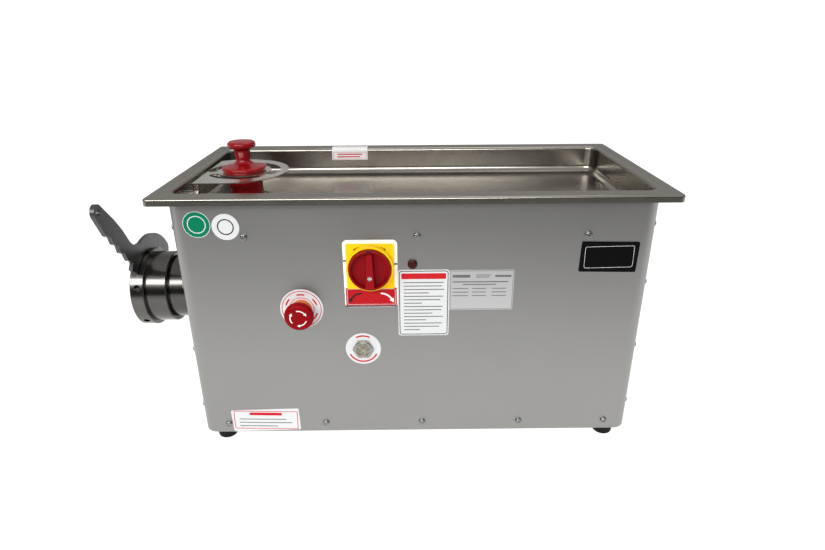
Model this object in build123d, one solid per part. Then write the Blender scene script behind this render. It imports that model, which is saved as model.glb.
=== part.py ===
"""Tray-top electric meat grinder, size 22 head. One STEP file per sub-part, in millimetres.

Frame: +X along the casing to the motor end, +Y from the control panel to the rear, +Z up.
The origin is on the table, under the middle of the casing. The barrel points along -X.
"""

import os
from math import atan2, cos, degrees, hypot, pi, radians, sin, sqrt, tan

from build123d import *

os.makedirs("parts", exist_ok=True)

# ---------------------------------------------------------------- driving dimensions
# casing
CASING_WIDTH = 646.0
CASING_DEPTH = 307.0
FOOT_HEIGHT = 20.0
CASING_TOP = 390.0
SHEET = 1.5
CORNER_RADIUS = 20.0
COVER_RETURN = 45.0
SEAM_GAP = 0.5
SHEET_GAP = 0.1
PAN_SHEET = 2.0
PAN_LIP = 26.0
RAIL_HEIGHT = 20.0
# tray
TRAY_OVERHANG = 21.0
TRAY_FRONT_OVERHANG = 16.5
RIM_RISE = 1.6
RIM_DROP = 9.6
BASIN_SIDE_GAP = 4.0
BASIN_FRONT = 29.0
BASIN_REAR = 29.5
BASIN_DEPTH = 43.6
BASIN_CORNER = 16.0
BASIN_BEND = 5.0
BASIN_COVE = 12.0
# grinding head
HEAD_Z = 197.5
FEED_INSET = 66.0
BARREL_REACH = 117.0
NECK_RADIUS = 50.0
THREAD_RADIUS = 47.5
BORE_RADIUS = 39.0
PLATE_RADIUS = 41.0
PLATE_THICKNESS = 10.0
KNIFE_THICKNESS = 12.0
PLATE_SEAT = 7.0
NUT_LENGTH = 54.0
NUT_LIP = 5.0
NUT_RADIUS = 57.0
NUT_RIM_RADIUS = 62.7
NUT_RIM_LENGTH = 21.5
OUTLET_RADIUS = 36.5
NUT_HOLES = 6
NUT_HOLE_RADIUS = 5.0
NUT_HOLE_DEPTH = 8.0
NUT_HOLE_ANGLE = 39.9
BOLT_RADIUS = 4.0
THROAT_RADIUS = 35.0
THROAT_BORE = 27.0
FLANGE_THICKNESS = 12.0
FLANGE_RADIUS = 66.0
FLANGE_BOLT_CIRCLE = 58.0
# stomper
STOMPER_RADIUS = 25.4
STOMPER_LENGTH = 148.0
KNOB_RADIUS = 20.8
# feed screw
SCREW_RADIUS = 38.6
SCREW_CORE = 15.0
SCREW_PITCH = 46.0
FLIGHT_THICKNESS = 7.0
TANG = 18.0
PILOT_RADIUS = 7.0
# gear train: wheel on the worm's shaft, layshaft and motor pinion, all parallel to X
SLOW_MODULE = 2.5
FAST_MODULE = 2.0
OUTPUT_TEETH = 48
LAY_PINION_TEETH = 20
LAY_GEAR_TEETH = 68
MOTOR_PINION_TEETH = 17
SLOW_FACE = 25.0
FAST_FACE = 16.0
BACKLASH = 0.16
# gearbox
BOX_WIDTH = 168.0
BOX_LENGTH = 87.0
BOX_WALL = 8.0
BOX_FLOOR_GAP = 30.0
BOX_CORNER = 38.0
GASKET = 1.0
COVER_THICKNESS = 20.0
OUTPUT_SHAFT_RADIUS = 15.0
OUTPUT_BEARING_RADIUS = 31.0
OUTPUT_BEARING_WIDTH = 16.0
LAY_SHAFT_RADIUS = 12.5
LAY_BEARING_RADIUS = 26.0
LAY_BEARING_WIDTH = 15.0
# motor
MOTOR_RADIUS = 72.0
MOTOR_FIN_RADIUS = 78.0
MOTOR_BORE = 66.0
MOTOR_LENGTH = 154.0
BELL_THICKNESS = 18.0
ROTOR_RADIUS = 40.0
CORE_LENGTH = 85.0
MOTOR_SHAFT_RADIUS = 12.5
REAR_SHAFT_RADIUS = 10.0
REAR_BEARING_RADIUS = 23.5
COWL_RADIUS = 80.0
CAPACITOR_Y = 104.0
CAPACITOR_Z = 150.0
# panel
SWITCH_INSET = 263.0
SWITCH_Z = 293.0
LEGEND_Z = 280.5
ESTOP_INSET = 165.5
ESTOP_Z = 228.5
SIGHT_Z = 164.0
LAMP_INSET = 319.7
LAMP_Z = 294.3
LEGEND_SIZE = (73.0, 98.0)
SWITCH_SQUARE = 64.0
COLLAR_RADIUS = 31.5
KNOB_DISC_RADIUS = 28.4
GRIP_FOOT = 15.0
GRIP_TIP = 9.6
KNOB_SCREW_RADIUS = 3.1
KNOB_SCREW_DROP = 9.2
ESTOP_LABEL_RADIUS = 30.0
ESTOP_HEAD_RADIUS = 20.0
ESTOP_COLLAR_RADIUS = 14.5
ESTOP_TRAVEL = 4.0
SIGHT_LABEL_RADIUS = 25.2
SIGHT_HEX = 27.0
SIGHT_BORE = 10.5
LAMP_RADIUS = 6.6
# fits and fasteners
RUNNING_FIT = 0.08
CLEARANCE = 0.3
SCREW_HEAD_RADIUS = 4.7
SCREW_HEAD_HEIGHT = 3.6
SCREW_SHANK_RADIUS = 2.5
SCREW_LENGTH = 12.0
FOOT_RADIUS = 17.0
FOOT_TIP_RADIUS = 14.0
FOOT_INSET_X = 28.0
FOOT_INSET_Y = 24.0
GLAND_RADIUS = 8.0

# ---------------------------------------------------------------- derived places
FRONT_Y = -CASING_DEPTH / 2
REAR_Y = CASING_DEPTH / 2
SIDE_X = CASING_WIDTH / 2
TRAY_WIDTH = CASING_WIDTH + 2 * TRAY_OVERHANG
TRAY_FRONT_Y = -CASING_DEPTH / 2 - TRAY_FRONT_OVERHANG
TRAY_REAR_Y = CASING_DEPTH / 2 + TRAY_OVERHANG
TRAY_DEPTH = TRAY_REAR_Y - TRAY_FRONT_Y
RIM_TOP = CASING_TOP + RIM_RISE
BASIN_WIDTH = CASING_WIDTH - 2 * BASIN_SIDE_GAP
FEED_X = -SIDE_X + FEED_INSET
NUT_FACE_X = -SIDE_X - BARREL_REACH
FLANGE_X = FEED_X + 52.0
BOX_X = FLANGE_X + 55.0
SWITCH_AT = (-SIDE_X + SWITCH_INSET, SWITCH_Z)
LEGEND_AT = (-SIDE_X + SWITCH_INSET, LEGEND_Z)
ESTOP_AT = (-SIDE_X + ESTOP_INSET, ESTOP_Z)
SIGHT_AT = (BOX_X + 75.5, SIGHT_Z)
LAMP_AT = (-SIDE_X + LAMP_INSET, LAMP_Z)
GLAND_AT = (SIDE_X - 61.0, FOOT_HEIGHT + 42.0)
PANEL_INNER_Y = FRONT_Y + SHEET
BASIN_TOP_FRONT = TRAY_FRONT_Y + BASIN_FRONT
BASIN_TOP_REAR = TRAY_REAR_Y - BASIN_REAR
BASIN_FLOOR = RIM_TOP - BASIN_DEPTH
GUARD_TOP = RIM_TOP - 3.6
TRAY_LABEL_X = (-141.0, -79.0)
NUT_REAR_X = NUT_FACE_X + NUT_LENGTH
PLATE_X = NUT_FACE_X + NUT_LIP
KNIFE_X = PLATE_X + PLATE_THICKNESS
SCREW_X = KNIFE_X + KNIFE_THICKNESS
MOUTH_X = KNIFE_X - PLATE_SEAT
LAY_DISTANCE = SLOW_MODULE * (OUTPUT_TEETH + LAY_PINION_TEETH) / 2
LAY_Z = HEAD_Z - LAY_DISTANCE
NOSE_END_X = FLANGE_X + FLANGE_THICKNESS
OUTPUT_GEAR_X = BOX_X + BOX_WALL + 4.0
LAY_GEAR_X = OUTPUT_GEAR_X + SLOW_FACE + 15.0
BOX_END_X = BOX_X + BOX_LENGTH
COVER_X = BOX_END_X + GASKET
MOTOR_X = COVER_X + COVER_THICKNESS
FRAME_X = MOTOR_X + BELL_THICKNESS
FRAME_END_X = FRAME_X + MOTOR_LENGTH
MOTOR_END_X = FRAME_END_X + BELL_THICKNESS
TERMINAL_X = (FRAME_X + FRAME_END_X) / 2
CORE_X = TERMINAL_X - CORE_LENGTH / 2
BOX_HEIGHT = 2 * (LAY_Z - BOX_FLOOR_GAP) + (HEAD_Z - LAY_Z) - 6.0
FOOT_X = SIDE_X - FOOT_INSET_X
FOOT_Y = REAR_Y - FOOT_INSET_Y


# ---------------------------------------------------------------- helpers
def save(shape, node):
    """Write one node, and name it after its file."""
    shape.label = node
    export_step(shape, f"parts/{node}.step")


def block(x0, x1, y0, y1, z0, z1):
    """Box between two corners."""
    centre = Location(((x0 + x1) / 2, (y0 + y1) / 2, (z0 + z1) / 2))
    return centre * Box(x1 - x0, y1 - y0, z1 - z0)


def bar_x(radius, x0, x1, y=0.0, z=HEAD_Z):
    """Round bar along X."""
    return Location(((x0 + x1) / 2, y, z), (0, 90, 0)) * Cylinder(radius, abs(x1 - x0))


def bar_y(radius, y0, y1, x, z):
    """Round bar along Y."""
    return Location((x, (y0 + y1) / 2, z), (90, 0, 0)) * Cylinder(radius, abs(y1 - y0))


def bar_z(radius, z0, z1, x, y):
    """Round bar along Z."""
    return Location((x, y, (z0 + z1) / 2)) * Cylinder(radius, abs(z1 - z0))


def plane_x(x, y=0.0, z=HEAD_Z):
    """Sketch plane that faces +X, with its own x along +Y and its own y along +Z."""
    return Plane(origin=(x, y, z), x_dir=(0, 1, 0), z_dir=(1, 0, 0))


def plane_front(x, z, y=FRONT_Y):
    """Sketch plane on the panel that faces -Y, with its own x along +X and its own y along +Z."""
    return Plane(origin=(x, y, z), x_dir=(1, 0, 0), z_dir=(0, -1, 0))


def ring_x(outer, inner, x0, x1, y=0.0, z=HEAD_Z):
    """Ring about an X axis."""
    return bar_x(outer, x0, x1, y, z) - bar_x(inner, x0 - 1, x1 + 1, y, z)


def around(angle_deg, radius):
    """Y and Z of a point at an angle from +Y towards +Z, about the head's axis."""
    return radius * cos(radians(angle_deg)), HEAD_Z + radius * sin(radians(angle_deg))


def group(shapes):
    """Several separate solids as one node."""
    solids = [solid for shape in shapes for solid in shape.solids()]
    return Compound(children=solids)


def sheet_channel(x_half, y_from, y_to, corner, thickness, z0, z1):
    """U of bent sheet, open at y_from, with its web at y_to and two rounded vertical corners."""
    side = 1 if y_to > y_from else -1
    outer = Rectangle(2 * x_half, 2 * abs(y_to - y_from))
    outer = fillet(outer.vertices(), corner)
    inner = Rectangle(2 * (x_half - thickness), 2 * (abs(y_to - y_from) - thickness))
    inner = fillet(inner.vertices(), corner - thickness)
    ring = Location((0, y_from, z0)) * extrude(outer - inner, amount=z1 - z0)
    far = y_to + side * 5
    keep = block(-x_half - 5, x_half + 5, min(y_from, far), max(y_from, far), z0 - 1, z1 + 1)
    return ring & keep


def gear_solid(teeth, module, width, x0, z, tooth_at_deg, bore):
    """Spur gear about an X axis, with one tooth centred on an angle from +Y towards +Z."""
    pitch = module * teeth / 2
    base = pitch * cos(radians(20))
    tip = pitch + module
    root = pitch - 1.25 * module
    half_tooth = (pi * module / 2 - BACKLASH) / 2 / pitch
    involute_at_pitch = tan(radians(20)) - radians(20)

    def flank(radius):
        if radius <= base:
            return half_tooth + involute_at_pitch
        angle = sqrt((radius / base) ** 2 - 1)
        return half_tooth + involute_at_pitch - (angle - atan2(angle, 1))

    start = max(root, base)
    radii = [root, start, (start + pitch) / 2, pitch, (pitch + tip) / 2, tip]
    if start == root:
        radii = radii[1:]
    points = []
    for tooth in range(teeth):
        centre = radians(tooth_at_deg) + 2 * pi * tooth / teeth
        for radius in radii:
            angle = centre - flank(radius)
            points.append((radius * cos(angle), radius * sin(angle)))
        for radius in reversed(radii):
            angle = centre + flank(radius)
            points.append((radius * cos(angle), radius * sin(angle)))
    profile = make_face(Polyline(*points, close=True))
    if bore:
        profile = profile - Circle(bore)
    return extrude(plane_x(x0, 0, z) * profile, amount=width)


def pan_screw(length=SCREW_LENGTH):
    """Pan head screw along +Z, with its seat at the origin and its shank below."""
    head = Location((0, 0, SCREW_HEAD_HEIGHT / 2)) * Cylinder(SCREW_HEAD_RADIUS, SCREW_HEAD_HEIGHT)
    head = fillet(head.edges().filter_by(GeomType.CIRCLE).sort_by(Axis.Z)[-1], 1.8)
    cross = Box(5.2, 1.1, 3.0) + Box(1.1, 5.2, 3.0)
    head = head - Location((0, 0, SCREW_HEAD_HEIGHT)) * cross
    return head + Location((0, 0, -length / 2)) * Cylinder(SCREW_SHANK_RADIUS, length)


def hex_bolt(radius, length, across):
    """Hex head bolt along +Z, with its seat at the origin and its shank below."""
    height = radius * 1.3
    head = extrude(RegularPolygon(across / 2, 6, major_radius=False), amount=height)
    return head + Location((0, 0, -length / 2)) * Cylinder(radius, length)


# ---------------------------------------------------------------- casing
PANEL_SCREWS_TOP = [(x, CASING_TOP - 55.5) for x in (97.0 - SIDE_X, 3.0, SIDE_X - 93.0)]
PANEL_SCREWS_BOTTOM = [(x, FOOT_HEIGHT + 15.0)
                       for x in (39.5 - SIDE_X, 187.0 - SIDE_X, 10.0, SIDE_X - 166.4, SIDE_X - 36.6)]
SIDE_SCREW_HEIGHTS = [FOOT_HEIGHT + z for z in (37.0, 134.0, 236.0, 322.0)]
SIDE_SCREW_Y = FRONT_Y + CORNER_RADIUS + 3.6


def make_front_cover():
    """Front sheet with rounded corners, short side returns and a top return under the tray."""
    cover = sheet_channel(SIDE_X, FRONT_Y + COVER_RETURN, FRONT_Y, CORNER_RADIUS, SHEET,
                          FOOT_HEIGHT, CASING_TOP)
    top = block(-SIDE_X + 30, SIDE_X - 30, PANEL_INNER_Y, PANEL_INNER_Y + 6,
                CASING_TOP - SHEET, CASING_TOP)
    cover = cover + top
    for x, z in PANEL_SCREWS_TOP + PANEL_SCREWS_BOTTOM:
        cover -= bar_y(SCREW_SHANK_RADIUS + 0.1, FRONT_Y - 5, FRONT_Y + 5, x, z)
    for side in (-1, 1):
        for z in SIDE_SCREW_HEIGHTS:
            cover -= bar_x(SCREW_SHANK_RADIUS + 0.1, side * (SIDE_X - 5), side * (SIDE_X + 5),
                           SIDE_SCREW_Y, z)
    cover -= bar_y(11.0, FRONT_Y - 5, FRONT_Y + 5, *ESTOP_AT)
    cover -= bar_y(11.0, FRONT_Y - 5, FRONT_Y + 5, *SWITCH_AT)
    cover -= bar_y(12.0, FRONT_Y - 5, FRONT_Y + 5, *SIGHT_AT)
    cover -= bar_y(LAMP_RADIUS - 1, FRONT_Y - 5, FRONT_Y + 5, *LAMP_AT)
    return cover


def make_casing_body():
    """Sides and rear in one bent sheet, joggled under the front cover's returns, with louvres."""
    seam_y = FRONT_Y + COVER_RETURN + SEAM_GAP
    body = sheet_channel(SIDE_X, seam_y, REAR_Y, CORNER_RADIUS, SHEET, FOOT_HEIGHT, CASING_TOP)
    for side in (-1, 1):
        outer = side * (SIDE_X - SHEET)
        inner = side * (SIDE_X - 2 * SHEET)
        joggle = block(min(outer, inner), max(outer, inner), FRONT_Y + CORNER_RADIUS + 0.1,
                       seam_y + 18, FOOT_HEIGHT + PAN_LIP + PAN_SHEET, BASIN_FLOOR - 10)
        body = body + joggle
        for z in SIDE_SCREW_HEIGHTS:
            body -= bar_x(SCREW_SHANK_RADIUS, side * (SIDE_X - 8), side * (SIDE_X - 1),
                          SIDE_SCREW_Y, z)
    body -= bar_x(NECK_RADIUS + 1, -SIDE_X - 5, -SIDE_X + 5)
    slot = SlotCenterToCenter(34, 5)
    for row in range(9):
        z = 110 + 18 * row
        for column in range(3):
            cut = Plane(origin=(110 + 50 * column, REAR_Y + 3, z), x_dir=(1, 0, 0),
                        z_dir=(0, 1, 0)) * slot
            body -= extrude(cut, amount=-8)
        for column in range(2):
            cut = Plane(origin=(SIDE_X + 3, 10 + 50 * column, z), x_dir=(0, 1, 0),
                        z_dir=(1, 0, 0)) * slot
            body -= extrude(cut, amount=-8)
    body -= bar_y(GLAND_RADIUS, REAR_Y - 5, REAR_Y + 5, *GLAND_AT)
    return body


def make_base_pan():
    """Folded base pan that stands in the foot of the casing and holds feet, gearbox and motor."""
    gap = SHEET + SHEET_GAP
    outer = Rectangle(CASING_WIDTH - 2 * gap, CASING_DEPTH - 2 * gap)
    outer = fillet(outer.vertices(), CORNER_RADIUS - gap)
    inner = Rectangle(CASING_WIDTH - 2 * gap - 2 * PAN_SHEET, CASING_DEPTH - 2 * gap - 2 * PAN_SHEET)
    inner = fillet(inner.vertices(), CORNER_RADIUS - gap - PAN_SHEET)
    pan = Location((0, 0, FOOT_HEIGHT)) * extrude(outer, amount=PAN_LIP)
    pan -= Location((0, 0, FOOT_HEIGHT + PAN_SHEET)) * extrude(inner, amount=PAN_LIP)
    for x, z in PANEL_SCREWS_BOTTOM:
        pan -= bar_y(SCREW_SHANK_RADIUS, FRONT_Y, FRONT_Y + 8, x, z)
    for x in (-FOOT_X, FOOT_X):
        for y in (-FOOT_Y, FOOT_Y):
            pan -= bar_z(3.0, FOOT_HEIGHT - 1, FOOT_HEIGHT + 5, x, y)
    for x, y in PAN_BOLTS:
        pan -= bar_z(BOLT_RADIUS, FOOT_HEIGHT - 1, FOOT_HEIGHT + 5, x, y)
    return pan


def make_front_rail():
    """Angle between the cover's side returns, which takes the top row of panel screws."""
    z0 = PANEL_SCREWS_TOP[0][1] - RAIL_HEIGHT / 2
    half = SIDE_X - 40
    y0 = PANEL_INNER_Y
    rail = block(-half, half, y0, y0 + 2, z0, z0 + RAIL_HEIGHT)
    rail = rail + block(-half, half, y0, y0 + 14, z0, z0 + 2)
    switch_x, switch_z = SWITCH_AT
    rail -= block(switch_x - 28, switch_x + 28, y0 - 1, y0 + 20, z0 - 1, switch_z + 31)
    for x, z in PANEL_SCREWS_TOP:
        rail -= bar_y(SCREW_SHANK_RADIUS, y0 - 1, y0 + 5, x, z)
    return rail


def make_casing_screws():
    """Pan head screws: eight on the front face and four on each side return of the cover."""
    screws = []
    for x, z in PANEL_SCREWS_TOP + PANEL_SCREWS_BOTTOM:
        screws.append(plane_front(x, z).location * pan_screw())
    for side in (-1, 1):
        for z in SIDE_SCREW_HEIGHTS:
            seat = Plane(origin=(side * SIDE_X, SIDE_SCREW_Y, z), x_dir=(0, 1, 0), z_dir=(side, 0, 0))
            screws.append(seat.location * pan_screw(8.0))
    return group(screws)


def make_feet():
    """Four tapered rubber feet with a recess for their screws."""
    feet = []
    for x in (-FOOT_X, FOOT_X):
        for y in (-FOOT_Y, FOOT_Y):
            foot = loft([Location((x, y, 0)) * Circle(FOOT_TIP_RADIUS),
                         Location((x, y, FOOT_HEIGHT)) * Circle(FOOT_RADIUS)])
            foot = fillet(foot.edges().filter_by(GeomType.CIRCLE).sort_by(Axis.Z)[0], 2.0)
            foot -= bar_z(3.0, -1, FOOT_HEIGHT + 1, x, y)
            foot -= bar_z(6.0, -1, 7.0, x, y)
            feet.append(foot)
    return group(feet)


def make_foot_screws():
    """Screws that hold the feet to the base pan, each with a nut."""
    screws = []
    for x in (-FOOT_X, FOOT_X):
        for y in (-FOOT_Y, FOOT_Y):
            screw = bar_z(5.5, 3.5, 7.0, x, y) + bar_z(3.0, 7.0, FOOT_HEIGHT + 9, x, y)
            nut_at = Location((x, y, FOOT_HEIGHT + PAN_SHEET))
            nut = nut_at * extrude(RegularPolygon(5.0, 6, major_radius=False), amount=5)
            screws.append(screw + nut)
    return group(screws)


def make_cable_gland():
    """Rear cable gland: hex body outside, nut inside, open bore for the lead."""
    x, z = GLAND_AT
    outside = Plane(origin=(x, REAR_Y, z), x_dir=(1, 0, 0), z_dir=(0, 1, 0))
    gland = extrude(outside * RegularPolygon(11, 6, major_radius=False), amount=6)
    gland = gland + bar_y(9.5, REAR_Y + 6, REAR_Y + 18, x, z)
    gland = gland + bar_y(GLAND_RADIUS, REAR_Y - 9, REAR_Y, x, z)
    inside = Plane(origin=(x, REAR_Y - SHEET, z), x_dir=(1, 0, 0), z_dir=(0, -1, 0))
    gland = gland + extrude(inside * RegularPolygon(11, 6, major_radius=False), amount=5)
    return gland - bar_y(4.5, REAR_Y - 20, REAR_Y + 30, x, z)


# ---------------------------------------------------------------- tray, guard and stomper
GUARD_RADIUS = 78.0
GUARD_SHIFT = 12.0
GUARD_SHEET = 1.5
GUARD_EDGE_X = FEED_X - 54.0
GUARD_TABS = ((-78.0, -60.0), (30.0, 46.0))
GUARD_BOLT_Z = BASIN_FLOOR + 23.0


def make_tray():
    """Deep drawn tray: flat rim, basin and a feed opening, each with a turned down edge."""
    middle_y = (BASIN_TOP_FRONT + BASIN_TOP_REAR) / 2
    basin_depth = BASIN_TOP_REAR - BASIN_TOP_FRONT
    rim_low = RIM_TOP - RIM_DROP
    rim = Rectangle(TRAY_WIDTH, TRAY_DEPTH)
    rim = extrude(fillet(rim.vertices(), 7.0), amount=RIM_DROP)
    rim = fillet(rim.faces().sort_by(Axis.Z)[-1].edges(), 3.0)
    hollow = Rectangle(TRAY_WIDTH - 2 * SHEET, TRAY_DEPTH - 2 * SHEET)
    hollow = extrude(fillet(hollow.vertices(), 7.0 - SHEET), amount=RIM_DROP - SHEET)
    hollow = fillet(hollow.faces().sort_by(Axis.Z)[-1].edges(), 3.0 - SHEET)
    rim_at = Location((0, (TRAY_FRONT_Y + TRAY_REAR_Y) / 2, rim_low))
    rim = rim_at * rim - rim_at * hollow

    outer = Rectangle(BASIN_WIDTH + 2 * SHEET, basin_depth + 2 * SHEET)
    outer = extrude(fillet(outer.vertices(), BASIN_CORNER + SHEET), amount=BASIN_DEPTH)
    outer = fillet(outer.faces().sort_by(Axis.Z)[0].edges(), BASIN_COVE + SHEET)
    outer = Location((0, middle_y, BASIN_FLOOR - SHEET)) * outer
    inner = Rectangle(BASIN_WIDTH, basin_depth)
    inner = extrude(fillet(inner.vertices(), BASIN_CORNER), amount=BASIN_DEPTH + 10)
    inner = fillet(inner.faces().sort_by(Axis.Z)[0].edges(), BASIN_COVE)
    inner = Location((0, middle_y, BASIN_FLOOR)) * inner
    tray = rim + outer
    under = [edge for edge in tray.edges()
             if abs(edge.center().Z - (RIM_TOP - SHEET)) < 0.01
             and abs(edge.center().X) < BASIN_WIDTH / 2 + 2 * SHEET
             and abs(edge.center().Y - middle_y) < basin_depth / 2 + 2 * SHEET]
    tray = fillet(under, 1.0)
    tray = tray - inner
    lip = [edge for edge in tray.edges()
           if abs(edge.center().Z - RIM_TOP) < 0.01
           and abs(edge.center().X) < BASIN_WIDTH / 2 + SHEET
           and abs(edge.center().Y - middle_y) < basin_depth / 2 + SHEET]
    tray = fillet(lip, BASIN_BEND)
    opening = THROAT_RADIUS + CLEARANCE
    collar = bar_z(opening + SHEET, BASIN_FLOOR - 9, BASIN_FLOOR - SHEET / 2, FEED_X, 0)
    tray = tray + collar
    tray -= bar_z(opening, BASIN_FLOOR - 12, BASIN_FLOOR + 10, FEED_X, 0)
    for y0, y1 in GUARD_TABS:
        y = (y0 + y1) / 2
        tray = tray + bar_x(6.0, -BASIN_WIDTH / 2 - 0.5, GUARD_EDGE_X, y, GUARD_BOLT_Z)
        tray -= bar_x(3.0, -BASIN_WIDTH / 2 + 0.5, GUARD_EDGE_X + 1, y, GUARD_BOLT_Z)
    return tray


def make_guard_plate():
    """Slotted guard over the feed opening, cut straight along the tray wall, with two bent tabs."""
    front = GUARD_TABS[0][0]
    disc = Location((FEED_X - GUARD_SHIFT, 0)) * Circle(GUARD_RADIUS)
    corner = make_face(Polyline((GUARD_EDGE_X, front), (GUARD_EDGE_X, 30), (FEED_X, 30),
                                (FEED_X - GUARD_SHIFT, -GUARD_RADIUS + 0.2), close=True))
    side = make_face(Polyline((GUARD_EDGE_X, -60), (GUARD_EDGE_X, GUARD_TABS[1][1]), (FEED_X, 46),
                              (FEED_X, -60), close=True))
    plate = disc + corner + side
    cut = Location((GUARD_EDGE_X - 50, 0)) * Rectangle(100, 400)
    plate = plate - cut
    for angle in (-100, 20, 140):
        slot = SlotArc(CenterArc((FEED_X, 0), 47, angle - 42, 84), 15)
        plate = plate - slot
    plate = plate - Location((FEED_X, 0)) * Circle(STOMPER_RADIUS + 1.6)
    plate = Location((0, 0, GUARD_TOP - GUARD_SHEET)) * extrude(plate, amount=GUARD_SHEET)
    for y0, y1 in GUARD_TABS:
        tab = block(GUARD_EDGE_X, GUARD_EDGE_X + GUARD_SHEET, y0, y1, GUARD_BOLT_Z - 9, GUARD_TOP)
        plate = plate + tab
        plate -= bar_x(3.1, GUARD_EDGE_X - 5, GUARD_EDGE_X + 5, (y0 + y1) / 2, GUARD_BOLT_Z)
    return plate


def make_guard_bolts():
    """Two hex bolts through the guard's tabs."""
    bolts = []
    for y0, y1 in GUARD_TABS:
        seat = Plane(origin=(GUARD_EDGE_X + GUARD_SHEET, (y0 + y1) / 2, GUARD_BOLT_Z),
                     x_dir=(0, 1, 0), z_dir=(1, 0, 0))
        bolts.append(seat.location * hex_bolt(3.0, 7.5, 10.0))
    return group(bolts)


def make_stomper():
    """Turned stomper: knob, waist, stop disc and plunger, revolved about the feed axis."""
    seat = GUARD_TOP
    disc_low = seat + 2.0
    radius = STOMPER_RADIUS
    rim = KNOB_RADIUS - 5.0
    with BuildPart() as turned:
        with BuildSketch(Plane(origin=(FEED_X, 0, 0), x_dir=(1, 0, 0), z_dir=(0, -1, 0))):
            with BuildLine():
                Line((0, seat - STOMPER_LENGTH), (radius - 3, seat - STOMPER_LENGTH))
                Line((radius - 3, seat - STOMPER_LENGTH), (radius, seat - STOMPER_LENGTH + 3))
                Line((radius, seat - STOMPER_LENGTH + 3), (radius, seat))
                Line((radius, seat), (radius + 4, seat))
                Line((radius + 4, seat), (radius + 4, disc_low))
                Line((radius + 4, disc_low), (30.5, disc_low))
                ThreePointArc((30.5, disc_low), (32.8, disc_low + 2.8), (30.5, disc_low + 5.6))
                Line((30.5, disc_low + 5.6), (17.0, disc_low + 8.6))
                ThreePointArc((17.0, disc_low + 8.6), (12.4, disc_low + 11.4),
                              (10.6, disc_low + 15.6))
                Spline((10.6, disc_low + 15.6), (11.2, disc_low + 24.5), (rim, disc_low + 32.4),
                       tangents=((0, 1), (1, 0.25)))
                ThreePointArc((rim, disc_low + 32.4), (KNOB_RADIUS, disc_low + 37.4),
                              (rim, disc_low + 42.4))
                Spline((rim, disc_low + 42.4), (8.0, disc_low + 43.4), (0, disc_low + 43.7),
                       tangents=((-1.0, 0.15), (-1, 0)))
                Line((0, disc_low + 43.7), (0, seat - STOMPER_LENGTH))
            make_face()
        revolve(axis=Axis((FEED_X, 0, 0), (0, 0, 1)))
    return turned.part


# ---------------------------------------------------------------- grinding head
def make_barrel():
    """Cast barrel: threaded mouth, smooth neck, feed throat and rear flange."""
    thread_end = NUT_REAR_X + 3.0
    barrel = bar_x(THREAD_RADIUS, MOUTH_X, thread_end)
    barrel = barrel + bar_x(NECK_RADIUS, thread_end, FLANGE_X)
    barrel = barrel + bar_x(FLANGE_RADIUS, FLANGE_X - FLANGE_THICKNESS, FLANGE_X)
    barrel = barrel + bar_z(THROAT_RADIUS, HEAD_Z, BASIN_FLOOR - 1, FEED_X, 0)
    barrel -= bar_z(THROAT_BORE, HEAD_Z, BASIN_FLOOR + 20, FEED_X, 0)
    barrel -= bar_x(BORE_RADIUS, MOUTH_X - 1, FLANGE_X - FLANGE_THICKNESS)
    barrel -= bar_x(SCREW_CORE + 2, FLANGE_X - FLANGE_THICKNESS - 1, FLANGE_X + 1)
    barrel -= bar_x(PLATE_RADIUS + RUNNING_FIT, MOUTH_X - 1, KNIFE_X)
    pin_y, pin_z = around(270, PLATE_RADIUS)
    barrel -= bar_x(2.5, MOUTH_X - 1, KNIFE_X + 4, pin_y, pin_z)
    for angle in range(45, 360, 90):
        y, z = around(angle, FLANGE_BOLT_CIRCLE)
        barrel -= bar_x(BOLT_RADIUS, FLANGE_X - FLANGE_THICKNESS - 1, FLANGE_X + 1, y, z)
    return barrel


def make_plate_pin():
    """Key pin in the barrel's mouth that stops the outlet plate from turning."""
    y, z = around(270, PLATE_RADIUS)
    return bar_x(2.5, PLATE_X + 2, KNIFE_X + 4, y, z)


def make_outlet_plate():
    """Perforated outlet plate with a pilot hole and a notch for the key pin."""
    plate = bar_x(PLATE_RADIUS, PLATE_X, KNIFE_X)
    plate -= bar_x(PILOT_RADIUS + RUNNING_FIT, PLATE_X - 1, KNIFE_X + 1)
    y, z = around(270, PLATE_RADIUS)
    plate -= bar_x(2.5 + CLEARANCE, PLATE_X - 1, KNIFE_X + 1, y, z)
    for radius, count in ((13.5, 7), (22.5, 13), (31.5, 19)):
        for step in range(count):
            y, z = around(90 + 360 * step / count, radius)
            plate -= bar_x(3.0, PLATE_X - 1, KNIFE_X + 1, y, z)
    return plate


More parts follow.
